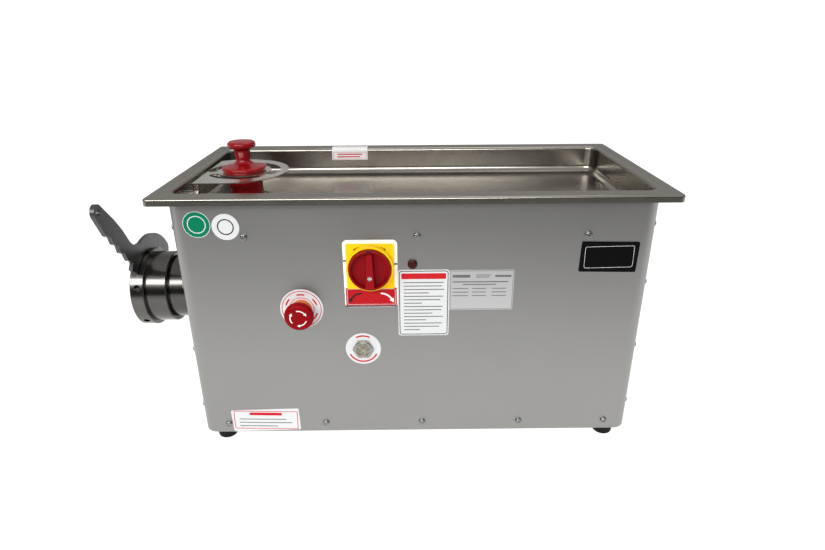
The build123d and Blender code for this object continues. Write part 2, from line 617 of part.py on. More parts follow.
def make_ring_nut():
    """Ring nut with a lip that holds the outlet plate and radial spanner holes in its rim."""
    rim_end = NUT_FACE_X + NUT_RIM_LENGTH
    rim = bar_x(NUT_RIM_RADIUS, NUT_FACE_X, rim_end)
    rim = chamfer(rim.edges().filter_by(GeomType.CIRCLE), 1.2)
    skirt = bar_x(NUT_RADIUS, rim_end, NUT_REAR_X)
    skirt = chamfer(skirt.edges().filter_by(GeomType.CIRCLE).sort_by(Axis.X)[-1], 1.5)
    nut = rim + skirt
    nut -= bar_x(OUTLET_RADIUS, NUT_FACE_X - 1, PLATE_X + 1)
    nut -= bar_x(THREAD_RADIUS + RUNNING_FIT, PLATE_X, NUT_REAR_X + 1)
    hole_x = NUT_FACE_X + 11.8
    for step in range(NUT_HOLES):
        angle = NUT_HOLE_ANGLE + 360 / NUT_HOLES * step
        y, z = around(angle, 1)
        radial = Plane(origin=(hole_x, 0, HEAD_Z), z_dir=(0, y, z - HEAD_Z), x_dir=(1, 0, 0))
        cut = radial * Circle(NUT_HOLE_RADIUS)
        nut -= extrude(cut.moved(Location(radial.z_dir * (NUT_RIM_RADIUS - NUT_HOLE_DEPTH))),
                       amount=NUT_HOLE_DEPTH + 5)
    return nut


SPANNER_X = NUT_FACE_X + 7.6
SPANNER_THICKNESS = 6.0
SPANNER_INNER = 64.5
SPANNER_OUTER = 86.5
SPANNER_RELIEF = 1.3
HANDLE_END = (-122.2, 163.2)
HANDLE_HOLE = 5.0


def make_spanner():
    """Hook spanner: hook with a round nose pin, and a handle with finger steps along one edge."""
    relief_angle = radians(NUT_HOLE_ANGLE + 180)
    relief = Vector(SPANNER_RELIEF * cos(relief_angle), SPANNER_RELIEF * sin(relief_angle))
    outer = Location((3, -1)) * Circle(SPANNER_OUTER)
    inner = Location((relief.X, relief.Y)) * Circle(SPANNER_INNER)
    far = 200.0
    keep = make_face(Polyline((0, 0), (far * cos(radians(24)), far * sin(radians(24))),
                              (far, far), (-far, far),
                              (far * cos(radians(140)), far * sin(radians(140))), close=True))
    hook = (outer - inner) & keep
    tip = [vertex for vertex in hook.vertices()
           if vertex.X > 60 and hypot(vertex.X, vertex.Y) > 75]
    hook = fillet(tip, 12.0)
    # the root of the handle bends out of the hook's outer side
    outline = (
        Line((-114.0, 170.8), (-96.8, 152.8))
        + ThreePointArc((-96.8, 152.8), (-73.4, 126.6), (-53.7, 96.8))
        + ThreePointArc((-53.7, 96.8), (-43.0, 87.4), (-24.0, 83.0))
        + Line((-24.0, 83.0), (-14.0, 66.5))
        + Line((-14.0, 66.5), (-47.0, 45.0))
    )
    # four finger steps: a long face that leans with the handle, then a short one back to it
    steps = [(-47.0, 45.0)]
    for peak, valley in (((-68.5, 71.5), (-58.3, 65.9)), ((-86.0, 90.6), (-74.5, 84.4)),
                         ((-99.4, 108.4), (-88.2, 102.8)), ((-114.0, 125.8), (-103.4, 120.4))):
        steps = steps + [valley, peak]
    steps.append((-130.8, 156.0))
    outline = outline + Polyline(*steps)
    outline = outline + ThreePointArc((-130.8, 156.0), (-129.2, 171.0), (-114.0, 170.8))
    handle = make_face(outline)
    bumps = [vertex for vertex in handle.vertices()
             if any(hypot(vertex.X - u, vertex.Y - v) < 0.1 for u, v in steps[1:-1])]
    handle = fillet(bumps, 4.0)
    body = hook + handle - inner
    body = body - inner
    body = body - Location(HANDLE_END) * Circle(HANDLE_HOLE)
    plate = extrude(plane_x(SPANNER_X) * body, amount=SPANNER_THICKNESS)
    y, z = around(NUT_HOLE_ANGLE, 1)
    direction = Vector(0, y, z - HEAD_Z)
    pin_low = NUT_RIM_RADIUS - 5.5
    pin_at = Vector(SPANNER_X + SPANNER_THICKNESS / 2, 0, HEAD_Z) + direction * (pin_low + 6)
    pin_plane = Plane(origin=pin_at, z_dir=direction, x_dir=(1, 0, 0))
    pin = pin_plane.location * Cylinder(SPANNER_THICKNESS / 2, 12)
    return plate + pin


def make_feed_screw():
    """Worm: core, one helical flight, front tang and pilot, rear socket for the output shaft."""
    rear = FLANGE_X - FLANGE_THICKNESS - 1.5
    core = bar_x(SCREW_CORE, SCREW_X, rear)
    length = rear - SCREW_X - 26
    path = Helix(pitch=SCREW_PITCH, height=length, radius=(SCREW_RADIUS + SCREW_CORE) / 2)
    start = Plane(origin=path @ 0, x_dir=(1, 0, 0), z_dir=path % 0)
    profile = start * Rectangle(SCREW_RADIUS - SCREW_CORE + 3, FLIGHT_THICKNESS)
    flight = sweep(profile, path=path, is_frenet=True)
    flight = Location((SCREW_X + 8, 0, HEAD_Z), (0, 90, 0)) * flight
    limit = bar_x(SCREW_RADIUS, SCREW_X, rear)
    flight = flight & limit
    worm = core + flight
    worm = worm + bar_x(SCREW_CORE + 1.5, rear, FLANGE_X - 2)
    tang = block(KNIFE_X, SCREW_X, -TANG / 2, TANG / 2, HEAD_Z - TANG / 2, HEAD_Z + TANG / 2)
    worm = worm + tang + bar_x(PILOT_RADIUS, PLATE_X, KNIFE_X)
    socket = block(FLANGE_X - 30, FLANGE_X, -8.05, 8.05, HEAD_Z - 8.05, HEAD_Z + 8.05)
    return worm - socket


def make_knife():
    """Four-blade knife on the worm's square tang, hollow ground between its blades."""
    hub = bar_x(17.0, KNIFE_X, SCREW_X)
    knife = hub
    for step in range(4):
        blade = block(KNIFE_X, SCREW_X, 0, 37.5, HEAD_Z - 7, HEAD_Z + 7)
        wedge = Location((KNIFE_X + 9, 25, HEAD_Z + 9), (35, 0, 0)) * Box(20, 60, 10)
        blade = (blade - wedge) & bar_x(37.5, KNIFE_X, SCREW_X)
        knife = knife + blade.rotate(Axis((0, 0, HEAD_Z), (1, 0, 0)), 90 * step)
    hole = TANG / 2
    return knife - block(KNIFE_X - 1, SCREW_X + 1, -hole, hole, HEAD_Z - hole, HEAD_Z + hole)


# ---------------------------------------------------------------- gearbox
def box_face(grow):
    """Rounded outline of the gearbox, on its own plane."""
    outline = Rectangle(BOX_WIDTH + 2 * grow, BOX_HEIGHT + 2 * grow)
    return fillet(outline.vertices(), BOX_CORNER + grow)


BOX_MIDDLE_Z = BOX_FLOOR_GAP + BOX_HEIGHT / 2
FILLER_X = BOX_X + BOX_LENGTH / 2
COVER_BOLTS = [(y, z) for y in (-BOX_WIDTH / 2 + 13, BOX_WIDTH / 2 - 13)
               for z in (BOX_MIDDLE_Z - BOX_HEIGHT / 2 + 13, BOX_MIDDLE_Z + BOX_HEIGHT / 2 - 13)]
BELL_BOLTS = [around(angle, 50.0) for angle in range(45, 360, 90)]
PAN_BOLTS = [(x, y) for x in (BOX_X + 15, BOX_X + 70) for y in (-45.0, 45.0)]
PAN_BOLTS += [(x, y) for x in (FRAME_X + 17, FRAME_END_X - 18) for y in (-50.0, 50.0)]
COVER_BOLTS = [(y * 0.91, BOX_MIDDLE_Z + (z - BOX_MIDDLE_Z) * 0.94) for y, z in COVER_BOLTS]
BEARING_A_X = NOSE_END_X + 7.0
BEARING_B_X = BOX_X - OUTPUT_BEARING_WIDTH + 6.0
LAY_BEARING_X = BOX_X - 7.0
LAY_END_X = COVER_X + LAY_BEARING_WIDTH


def make_gearbox_housing():
    """Cast housing with a long bearing nose, the barrel flange, bosses, feet and bolt lugs."""
    body = extrude(plane_x(BOX_X, 0, BOX_MIDDLE_Z) * box_face(0), amount=BOX_LENGTH)
    hollow = extrude(plane_x(BOX_X + BOX_WALL, 0, BOX_MIDDLE_Z) * box_face(-BOX_WALL),
                     amount=BOX_LENGTH)
    body -= hollow
    for y, z in COVER_BOLTS:
        lug = bar_x(9.0, BOX_END_X - 24, BOX_END_X, y, z)
        body = body + (lug & extrude(plane_x(BOX_X, 0, BOX_MIDDLE_Z) * box_face(0), amount=BOX_LENGTH))
    body = body + bar_x(44.0, NOSE_END_X, BOX_X + 1)
    body = body + bar_x(FLANGE_RADIUS, FLANGE_X, NOSE_END_X)
    body = body + bar_x(34.0, LAY_BEARING_X - 4, BOX_X + 1, 0, LAY_Z)
    for y0 in (-BOX_WIDTH / 2 + 24, BOX_WIDTH / 2 - 54):
        foot = block(BOX_X + 4, BOX_END_X - 4, y0, y0 + 30, FOOT_HEIGHT + PAN_SHEET,
                     BOX_FLOOR_GAP + 4)
        body = body + foot
    body -= bar_x(OUTPUT_BEARING_RADIUS, BEARING_A_X, BOX_X + BOX_WALL + 1)
    body -= bar_x(25.0, FLANGE_X - 1, BEARING_A_X + 1)
    body -= bar_x(LAY_BEARING_RADIUS, LAY_BEARING_X, BOX_X + BOX_WALL + 1, 0, LAY_Z)
    for angle in range(45, 360, 90):
        y, z = around(angle, FLANGE_BOLT_CIRCLE)
        body -= bar_x(BOLT_RADIUS, FLANGE_X - 1, NOSE_END_X + 1, y, z)
    for y, z in COVER_BOLTS:
        body -= bar_x(BOLT_RADIUS, BOX_END_X - 20, BOX_END_X + 1, y, z)
    for x, y in PAN_BOLTS[:4]:
        body -= bar_z(BOLT_RADIUS, FOOT_HEIGHT, FOOT_HEIGHT + 8, x, y)
    sight_x, sight_z = SIGHT_AT
    body -= bar_y(8.0, -BOX_WIDTH / 2 - 1, -BOX_WIDTH / 2 + BOX_WALL + 1, sight_x, sight_z)
    top = BOX_MIDDLE_Z + BOX_HEIGHT / 2
    return body - bar_z(8.0, top - BOX_WALL - 1, top + 1, FILLER_X, 0)


def make_oil_filler():
    """Hex filler plug on the top of the gearbox."""
    top = BOX_MIDDLE_Z + BOX_HEIGHT / 2
    return Location((FILLER_X, 0, top)) * hex_bolt(8.0, 9.0, 19.0)


def make_gearbox_gasket():
    """Gasket between housing and cover."""
    face = box_face(0) - box_face(-BOX_WALL + 1)
    gasket = extrude(plane_x(BOX_END_X, 0, BOX_MIDDLE_Z) * face, amount=GASKET)
    for y, z in COVER_BOLTS:
        gasket -= bar_x(BOLT_RADIUS, BOX_END_X - 1, BOX_END_X + 5, y, z)
    return gasket


def make_gearbox_cover():
    """Thick cover plate with the layshaft's end bearing pocket and the motor spigot."""
    cover = extrude(plane_x(COVER_X, 0, BOX_MIDDLE_Z) * box_face(0), amount=COVER_THICKNESS)
    cover -= bar_x(LAY_BEARING_RADIUS, COVER_X - 1, LAY_END_X, 0, LAY_Z)
    cover -= bar_x(MOTOR_SHAFT_RADIUS + 1, COVER_X - 1, MOTOR_X + 1)
    cover -= bar_x(20.0, COVER_X - 1, COVER_X + 10)
    for y, z in COVER_BOLTS:
        cover -= bar_x(BOLT_RADIUS, COVER_X - 1, MOTOR_X + 1, y, z)
    for y, z in BELL_BOLTS:
        cover -= bar_x(BOLT_RADIUS, MOTOR_X - 13, MOTOR_X + 1, y, z)
    return cover


def make_drive_bolts():
    """Hex bolts of the drive: cover, motor bell, barrel flange with nuts, and base pan."""
    face = {"x_dir": (0, 1, 0), "z_dir": (1, 0, 0)}
    bolts = []
    for y, z in COVER_BOLTS:
        bolts.append(Plane(origin=(MOTOR_X, y, z), **face).location * hex_bolt(BOLT_RADIUS, 36, 13))
    for y, z in BELL_BOLTS:
        bolts.append(Plane(origin=(FRAME_X, y, z), **face).location * hex_bolt(BOLT_RADIUS, 30, 13))
    nut = extrude(Plane.XY * RegularPolygon(6.5, 6, major_radius=False), amount=-6)
    nut = Location((0, 0, -2 * FLANGE_THICKNESS)) * nut
    for angle in range(45, 360, 90):
        seat = Plane(origin=(NOSE_END_X, *around(angle, FLANGE_BOLT_CIRCLE)), **face)
        bolts.append(seat.location * (hex_bolt(BOLT_RADIUS, 34, 13) + nut))
    for x, y in PAN_BOLTS:
        seat = Plane(origin=(x, y, FOOT_HEIGHT), x_dir=(1, 0, 0), z_dir=(0, 0, -1))
        bolts.append(seat.location * hex_bolt(BOLT_RADIUS, 6.5, 13))
    return group(bolts)


def make_bearings():
    """Ball bearings of output shaft, layshaft and motor, two on each, as closed rings."""
    rings = []
    for x in (BEARING_A_X, BEARING_B_X):
        rings.append(ring_x(OUTPUT_BEARING_RADIUS, OUTPUT_SHAFT_RADIUS + RUNNING_FIT,
                            x, x + OUTPUT_BEARING_WIDTH))
    for x in (LAY_BEARING_X, COVER_X):
        rings.append(ring_x(LAY_BEARING_RADIUS, LAY_SHAFT_RADIUS + RUNNING_FIT,
                            x, x + LAY_BEARING_WIDTH, 0, LAY_Z))
    rings.append(ring_x(LAY_BEARING_RADIUS, MOTOR_SHAFT_RADIUS + RUNNING_FIT,
                        FRAME_X - LAY_BEARING_WIDTH, FRAME_X))
    rings.append(ring_x(REAR_BEARING_RADIUS, REAR_SHAFT_RADIUS + RUNNING_FIT,
                        FRAME_END_X, FRAME_END_X + 14))
    return group(rings)


def make_shaft_seals():
    """Rubber lip seals: one behind the barrel flange and one on the motor shaft."""
    front = ring_x(25.0, OUTPUT_SHAFT_RADIUS + RUNNING_FIT, FLANGE_X + 2, FLANGE_X + 12)
    rear = ring_x(20.0, MOTOR_SHAFT_RADIUS + RUNNING_FIT, COVER_X, COVER_X + 10)
    return group([front, rear])


def make_output_shaft():
    """Output shaft with a square tang for the worm and a keyway for its gear."""
    tang = block(FLANGE_X - 28, FLANGE_X, -8, 8, HEAD_Z - 8, HEAD_Z + 8)
    shaft = bar_x(OUTPUT_SHAFT_RADIUS, FLANGE_X, OUTPUT_GEAR_X + SLOW_FACE + 5)
    keyway = block(OUTPUT_GEAR_X + 2, OUTPUT_GEAR_X + SLOW_FACE - 2, -4, 4,
                   HEAD_Z + OUTPUT_SHAFT_RADIUS - 4, HEAD_Z + OUTPUT_SHAFT_RADIUS + 4)
    return tang + shaft - keyway


def make_output_gear():
    """Large gear on the output shaft, lightened between hub and rim."""
    gear = gear_solid(OUTPUT_TEETH, SLOW_MODULE, SLOW_FACE, OUTPUT_GEAR_X, HEAD_Z, -90,
                      OUTPUT_SHAFT_RADIUS)
    recess = ring_x(48.0, 26.0, OUTPUT_GEAR_X - 1, OUTPUT_GEAR_X + 6)
    gear -= recess
    gear -= ring_x(48.0, 26.0, OUTPUT_GEAR_X + SLOW_FACE - 6, OUTPUT_GEAR_X + SLOW_FACE + 1)
    keyway = block(OUTPUT_GEAR_X - 1, OUTPUT_GEAR_X + SLOW_FACE + 1, -4, 4,
                   HEAD_Z, HEAD_Z + OUTPUT_SHAFT_RADIUS + 3.5)
    return gear - keyway


def make_gear_key():
    """Parallel key between the output shaft and its gear."""
    return block(OUTPUT_GEAR_X + 2, OUTPUT_GEAR_X + SLOW_FACE - 2, -4, 4,
                 HEAD_Z + OUTPUT_SHAFT_RADIUS - 4, HEAD_Z + OUTPUT_SHAFT_RADIUS + 3.5)


def make_layshaft():
    """Layshaft with the slow stage's pinion cut on it."""
    pinion_offset = 90 + 180 / LAY_PINION_TEETH
    pinion = gear_solid(LAY_PINION_TEETH, SLOW_MODULE, SLOW_FACE, OUTPUT_GEAR_X, LAY_Z,
                        pinion_offset, 0)
    return pinion + bar_x(LAY_SHAFT_RADIUS, LAY_BEARING_X, LAY_END_X, 0, LAY_Z)


def make_layshaft_gear():
    """Large gear of the fast stage, pressed on the layshaft, with four lightening holes."""
    gear = gear_solid(LAY_GEAR_TEETH, FAST_MODULE, FAST_FACE, LAY_GEAR_X, LAY_Z, 90,
                      LAY_SHAFT_RADIUS)
    for step in range(4):
        angle = radians(45 + 90 * step)
        gear -= bar_x(13.0, LAY_GEAR_X - 1, LAY_GEAR_X + FAST_FACE + 1, 40 * cos(angle),
                      LAY_Z + 40 * sin(angle))
    return gear


# ---------------------------------------------------------------- motor
def make_motor_shaft():
    """Motor shaft with the fast stage's pinion cut on its end."""
    pinion_offset = -90 + 180 / MOTOR_PINION_TEETH
    pinion = gear_solid(MOTOR_PINION_TEETH, FAST_MODULE, FAST_FACE + 2, LAY_GEAR_X - 1, HEAD_Z,
                        pinion_offset, 0)
    shaft = bar_x(MOTOR_SHAFT_RADIUS, LAY_GEAR_X + FAST_FACE, FRAME_END_X)
    return pinion + shaft + bar_x(REAR_SHAFT_RADIUS, FRAME_END_X, MOTOR_END_X + 24)


def make_rotor_core():
    """Rotor stack with its end rings."""
    core = ring_x(ROTOR_RADIUS, MOTOR_SHAFT_RADIUS, CORE_X, CORE_X + CORE_LENGTH)
    return core + ring_x(ROTOR_RADIUS - 3, 26.0, CORE_X - 7, CORE_X + CORE_LENGTH + 7)


def make_motor_fan():
    """Radial fan on the rear shaft end."""
    fan_x = MOTOR_END_X + 5
    fan = ring_x(14.0, REAR_SHAFT_RADIUS, fan_x, fan_x + 18) + ring_x(62.0, 13.0, fan_x, fan_x + 3)
    for step in range(8):
        blade = block(fan_x + 2, fan_x + 17, -1.5, 1.5, HEAD_Z + 13, HEAD_Z + 60)
        fan = fan + blade.rotate(Axis((0, 0, HEAD_Z), (1, 0, 0)), 45 * step)
    return fan


def make_motor_frame():
    """Finned motor frame with a flat pad for the terminal box."""
    frame = ring_x(MOTOR_RADIUS, MOTOR_BORE, FRAME_X, FRAME_END_X)
    for step in range(32):
        angle = 360 / 32 * step
        if 50 < angle < 130:
            continue
        fin = block(FRAME_X + 4, FRAME_END_X - 4, MOTOR_RADIUS - 2, MOTOR_FIN_RADIUS,
                    HEAD_Z - 1.25, HEAD_Z + 1.25)
        frame = frame + fin.rotate(Axis((0, 0, HEAD_Z), (1, 0, 0)), angle)
    pad = block(TERMINAL_X - 35, TERMINAL_X + 35, -32, 32, HEAD_Z + 58, HEAD_Z + MOTOR_RADIUS + 3)
    pad = pad - bar_x(MOTOR_RADIUS - 2, TERMINAL_X - 40, TERMINAL_X + 40)
    return frame + pad


def make_motor_front_bell():
    """Front end bell with its bearing pocket, bolted to the gearbox cover."""
    bell = bar_x(MOTOR_FIN_RADIUS, MOTOR_X, FRAME_X)
    for y, z in BELL_BOLTS:
        bell -= bar_x(BOLT_RADIUS, MOTOR_X - 1, FRAME_X + 1, y, z)
    bell -= bar_x(MOTOR_SHAFT_RADIUS + 1, MOTOR_X - 1, FRAME_X + 1)
    return bell - bar_x(LAY_BEARING_RADIUS, FRAME_X - LAY_BEARING_WIDTH, FRAME_X + 1)


def make_motor_rear_bell():
    """Rear end bell with its bearing pocket."""
    bell = bar_x(MOTOR_FIN_RADIUS, FRAME_END_X, MOTOR_END_X)
    bell -= bar_x(REAR_SHAFT_RADIUS + 1, FRAME_END_X - 1, MOTOR_END_X + 1)
    return bell - bar_x(REAR_BEARING_RADIUS, FRAME_END_X - 1, FRAME_END_X + 14)


def make_stator_core():
    """Stator stack in the frame, 0.4 mm off the rotor."""
    return ring_x(MOTOR_BORE, ROTOR_RADIUS + 0.4, CORE_X, CORE_X + CORE_LENGTH)


def make_stator_windings():
    """Winding heads at both ends of the stack."""
    heads = []
    for x0, x1 in ((CORE_X - 22, CORE_X), (CORE_X + CORE_LENGTH, CORE_X + CORE_LENGTH + 22)):
        head = ring_x(62.0, 43.0, x0, x1)
        heads.append(fillet(head.edges().filter_by(GeomType.CIRCLE), 4.0))
    return group(heads)


def make_fan_cowl():
    """Sheet cowl over the fan, open towards the frame, with rings of air holes in its end."""
    end = MOTOR_END_X + 32
    cowl = bar_x(COWL_RADIUS, FRAME_END_X + 4, end) - bar_x(COWL_RADIUS - 2, FRAME_END_X, end - 2)
    for radius, count in ((16, 6), (30, 12), (44, 18), (58, 24)):
        for step in range(count):
            y, z = around(360 * step / count, radius)
            cowl -= bar_x(4.0, end - 5, end + 5, y, z)
    return cowl


def make_terminal_box():
    """Terminal box on the motor, with a lid step."""
    z0 = HEAD_Z + MOTOR_RADIUS + 3
    box = block(TERMINAL_X - 40, TERMINAL_X + 40, -36, 36, z0, z0 + 30)
    lid = block(TERMINAL_X - 42, TERMINAL_X + 42, -38, 38, z0 + 30, z0 + 38)
    hollow = block(TERMINAL_X - 36, TERMINAL_X + 36, -32, 32, z0 + 3, z0 + 34)
    return box + lid - hollow


def make_run_capacitor():
    """Run capacitor beside the motor: round can with a crimped rim and two tabs."""
    y, z, x0 = CAPACITOR_Y, CAPACITOR_Z, TERMINAL_X - 45
    can = bar_x(20.0, x0, x0 + 90, y, z)
    can = can + bar_x(21.5, x0 + 84, x0 + 88, y, z)
    for offset in (-8, 8):
        can = can + block(x0 + 90, x0 + 102, y - 0.5, y + 0.5, z + offset - 3, z + offset + 3)
    return can


def make_motor_cradle():
    """Cradle that carries the motor frame on the base pan, with the capacitor's clip."""
    z0 = FOOT_HEIGHT + PAN_SHEET
    cradle = block(FRAME_X + 10, FRAME_END_X - 10, -62, CAPACITOR_Y + 16, z0, z0 + 5)
    for x in (FRAME_X + 24, FRAME_END_X - 32):
        web = block(x, x + 8, -58, 58, z0, HEAD_Z - 30) - bar_x(MOTOR_FIN_RADIUS + 0.05, x - 1, x + 9)
        cradle = cradle + web
    for x, y in PAN_BOLTS[4:]:
        cradle -= bar_z(BOLT_RADIUS, FOOT_HEIGHT, z0 + 10, x, y)
    x0 = TERMINAL_X - 10
    clip = ring_x(22.0, 20.0, x0, x0 + 20, CAPACITOR_Y, CAPACITOR_Z)
    stalk = block(x0, x0 + 20, CAPACITOR_Y - 1.5, CAPACITOR_Y + 1.5, z0, CAPACITOR_Z - 20.5)
    return cradle + stalk + clip


# ---------------------------------------------------------------- controls on the panel
LEGEND_THICKNESS = 2.0
SQUARE_THICKNESS = 4.0
COLLAR_HEIGHT = 9.0


def make_switch_legend():
    """Legend plate behind the main switch."""
    x, z = LEGEND_AT
    face = fillet(Rectangle(*LEGEND_SIZE).vertices(), 6.0)
    plate = extrude(plane_front(x, z) * face, amount=LEGEND_THICKNESS)
    return plate - bar_y(11.0, FRONT_Y - 10, FRONT_Y + 5, *SWITCH_AT)


def make_switch_collar():
    """Square front plate of the main switch with its round collar."""
    x, z = SWITCH_AT
    y = FRONT_Y - LEGEND_THICKNESS
    face = fillet(Rectangle(SWITCH_SQUARE, SWITCH_SQUARE).vertices(), 2.0)
    plate = extrude(plane_front(x, z, y) * face, amount=SQUARE_THICKNESS)
    end = y - SQUARE_THICKNESS - COLLAR_HEIGHT
    plate = plate + bar_y(COLLAR_RADIUS, end, y - SQUARE_THICKNESS, x, z)
    plate -= bar_y(COLLAR_RADIUS - 2.4, end - 1, y - SQUARE_THICKNESS, x, z)
    return plate - bar_y(6.0, end - 1, y + 1, x, z)


def make_direction_strip():
    """Thin strip with the two run directions, below the square plate."""
    x, z = LEGEND_AT
    top = SWITCH_AT[1] - SWITCH_SQUARE / 2
    low = z - LEGEND_SIZE[1] / 2 + 2.5
    y = FRONT_Y - LEGEND_THICKNESS
    return block(x - 35, x + 35, y - 0.8, y, low, top)


def make_switch_block():
    """Cam switch block behind the panel, held by its threaded neck."""
    x, z = SWITCH_AT
    block_front = PANEL_INNER_Y
    body = block(x - 26, x + 26, block_front, block_front + 48, z - 26, z + 26)
    body = body + bar_y(11.0, FRONT_Y - LEGEND_THICKNESS, block_front, x, z)
    return body - bar_y(5.0 + RUNNING_FIT, FRONT_Y - 10, block_front + 30, x, z)


def make_switch_knob():
    """Round knob with a raised rim, a tapered grip across it and its spindle."""
    x, z = SWITCH_AT
    y0 = FRONT_Y - LEGEND_THICKNESS - SQUARE_THICKNESS
    back = y0 - 0.6
    front = y0 - COLLAR_HEIGHT - 6.5
    knob = bar_y(KNOB_DISC_RADIUS, front, back, x, z)
    knob = fillet(knob.edges().filter_by(GeomType.CIRCLE).sort_by(Axis.Y)[0], 2.0)
    knob -= bar_y(KNOB_DISC_RADIUS - 3.0, front - 1, front + 7.5, x, z)
    reach = KNOB_DISC_RADIUS - 2.8
    grip_face = make_face(Polyline((-GRIP_FOOT / 2, -reach), (GRIP_FOOT / 2, -reach),
                                   (GRIP_TIP / 2, reach), (-GRIP_TIP / 2, reach), close=True))
    grip_face = fillet(grip_face.vertices(), 2.6)
    grip = extrude(plane_front(x, z, front + 9.0) * grip_face, amount=13.0, taper=6)
    knob = knob + grip
    knob = knob + bar_y(5.0, back, PANEL_INNER_Y + 25, x, z)
    return knob - bar_y(KNOB_SCREW_RADIUS, front - 10, front + 1.5, x, z - KNOB_SCREW_DROP)


def make_knob_screw():
    """Small screw in the lower end of the knob's grip."""
    x, z = SWITCH_AT
    y0 = FRONT_Y - LEGEND_THICKNESS - SQUARE_THICKNESS - COLLAR_HEIGHT - 6.5
    screw_z = z - KNOB_SCREW_DROP
    screw = bar_y(KNOB_SCREW_RADIUS, y0 - 3.6, y0 + 1.5, x, screw_z)
    return screw - block(x - 4, x + 4, y0 - 4, y0 - 2.8, screw_z - 0.5, screw_z + 0.5)


def make_estop_label():
    """Round legend disc behind the emergency stop."""
    x, z = ESTOP_AT
    disc = bar_y(ESTOP_LABEL_RADIUS, FRONT_Y - 1.0, FRONT_Y, x, z)
    return disc - bar_y(11.0, FRONT_Y - 5, FRONT_Y + 5, x, z)


def make_estop_collar():
    """Collar and threaded neck of the emergency stop, with its contact block behind the panel."""
    x, z = ESTOP_AT
    collar = bar_y(ESTOP_COLLAR_RADIUS, FRONT_Y - 11, FRONT_Y - 1, x, z)
    collar = fillet(collar.edges().filter_by(GeomType.CIRCLE).sort_by(Axis.Y)[0], 2.0)
    collar = collar + bar_y(11.0, FRONT_Y - 1, PANEL_INNER_Y + 12, x, z)
    collar = collar + bar_y(15.0, PANEL_INNER_Y, PANEL_INNER_Y + 4, x, z)
    return collar - bar_y(7.0 + RUNNING_FIT, FRONT_Y - 20, PANEL_INNER_Y + 20, x, z)


def make_estop_contacts():
    """Contact block of the emergency stop."""
    x, z = ESTOP_AT
    y0 = PANEL_INNER_Y + 12
    body = block(x - 15, x + 15, y0, y0 + 34, z - 20, z + 20)
    return body - bar_y(8.0, y0 - 1, y0 + 8, x, z)


def make_estop_stem():
    """Push stem of the emergency stop."""
    x, z = ESTOP_AT
    return bar_y(7.0, FRONT_Y - 18, PANEL_INNER_Y + 12, x, z)


def make_estop_head():
    """Mushroom head of the emergency stop."""
    x, z = ESTOP_AT
    rear = FRONT_Y - 18.0
    head = bar_y(ESTOP_HEAD_RADIUS, rear - 11.6, rear, x, z)
    rims = head.edges().filter_by(GeomType.CIRCLE).sort_by(Axis.Y)
    head = fillet(rims[0], 6.0)
    return chamfer(head.edges().filter_by(GeomType.CIRCLE).sort_by(Axis.Y)[-1], 2.0, 5.0)


def make_pilot_lamp():
    """Pilot lamp with its domed lens, and its nut behind the panel."""
    x, z = LAMP_AT
    body = bar_y(LAMP_RADIUS - 1, FRONT_Y, PANEL_INNER_Y + 28, x, z)
    lens = bar_y(LAMP_RADIUS, FRONT_Y - 4.5, FRONT_Y, x, z)
    lens = fillet(lens.edges().filter_by(GeomType.CIRCLE).sort_by(Axis.Y)[0], 2.8)
    return body + lens + bar_y(LAMP_RADIUS + 1.5, PANEL_INNER_Y, PANEL_INNER_Y + 4, x, z)


def make_sight_label():
    """Round legend disc behind the oil sight glass."""
    x, z = SIGHT_AT
    disc = bar_y(SIGHT_LABEL_RADIUS, FRONT_Y - 0.6, FRONT_Y, x, z)
    return disc - bar_y(12.0, FRONT_Y - 5, FRONT_Y + 5, x, z)


def make_sight_body():
    """Hex body of the oil sight glass and its pipe to the gearbox."""
    x, z = SIGHT_AT
    hexagon = RegularPolygon(SIGHT_HEX / 2, 6, major_radius=False)
    body = extrude(plane_front(x, z, FRONT_Y - 0.6) * hexagon, amount=2.6)
    body = body & bar_y(SIGHT_HEX / 2 + 1.4, FRONT_Y - 20, FRONT_Y + 5, x, z)
    body = body + bar_y(12.2, FRONT_Y - 4.6, FRONT_Y - 3.2, x, z)
    body = body + bar_y(12.0, FRONT_Y - 0.6, -BOX_WIDTH / 2 - 6, x, z)
    body = body + bar_y(8.0, -BOX_WIDTH / 2 - 6, -BOX_WIDTH / 2 + BOX_WALL, x, z)
    body -= bar_y(SIGHT_BORE, FRONT_Y - 12, FRONT_Y + 3, x, z)
    return body - bar_y(5.0, FRONT_Y - 4, -BOX_WIDTH / 2 + BOX_WALL + 5, x, z)


def make_sight_lens():
    """Clear lens of the oil sight glass."""
    x, z = SIGHT_AT
    return bar_y(SIGHT_BORE, FRONT_Y - 4.2, FRONT_Y - 1.2, x, z)


def make_sight_reflector():
    """Star-shaped reflector behind the lens: a disc with five windows onto the oil."""
    x, z = SIGHT_AT
    disc = Circle(SIGHT_BORE)
    for window in range(5):
        middle = 126 + 72 * window
        corners = []
        for radius, offset in ((3.8, 0), (8.4, 23), (9.0, 0), (8.4, -23)):
            angle = radians(middle + offset)
            corners.append((radius * cos(angle), radius * sin(angle)))
        disc = disc - make_face(Polyline(*corners, close=True))
    return extrude(plane_front(x, z, FRONT_Y + 3.0) * disc, amount=1.2)


# ---------------------------------------------------------------- plates and labels
def panel_label(x, z, width, height, corner, thickness=0.3, turn=0.0):
    """Thin rounded label on the panel."""
    face = fillet(Rectangle(width, height).vertices(), corner)
    face = Rot(0, 0, turn) * face
    return extrude(plane_front(x, z) * face, amount=thickness)


def make_name_plate():
    """Blank name plate on the panel."""
    return panel_label(SIDE_X - 62.0, 302.4, 77.5, 43.3, 2.0, 0.8, -1.0)


def make_data_plate():
    """Blank rating plate on the panel."""
    return panel_label(414.3 - SIDE_X, 255.0, 87.8, 60.0, 1.0, 0.5)


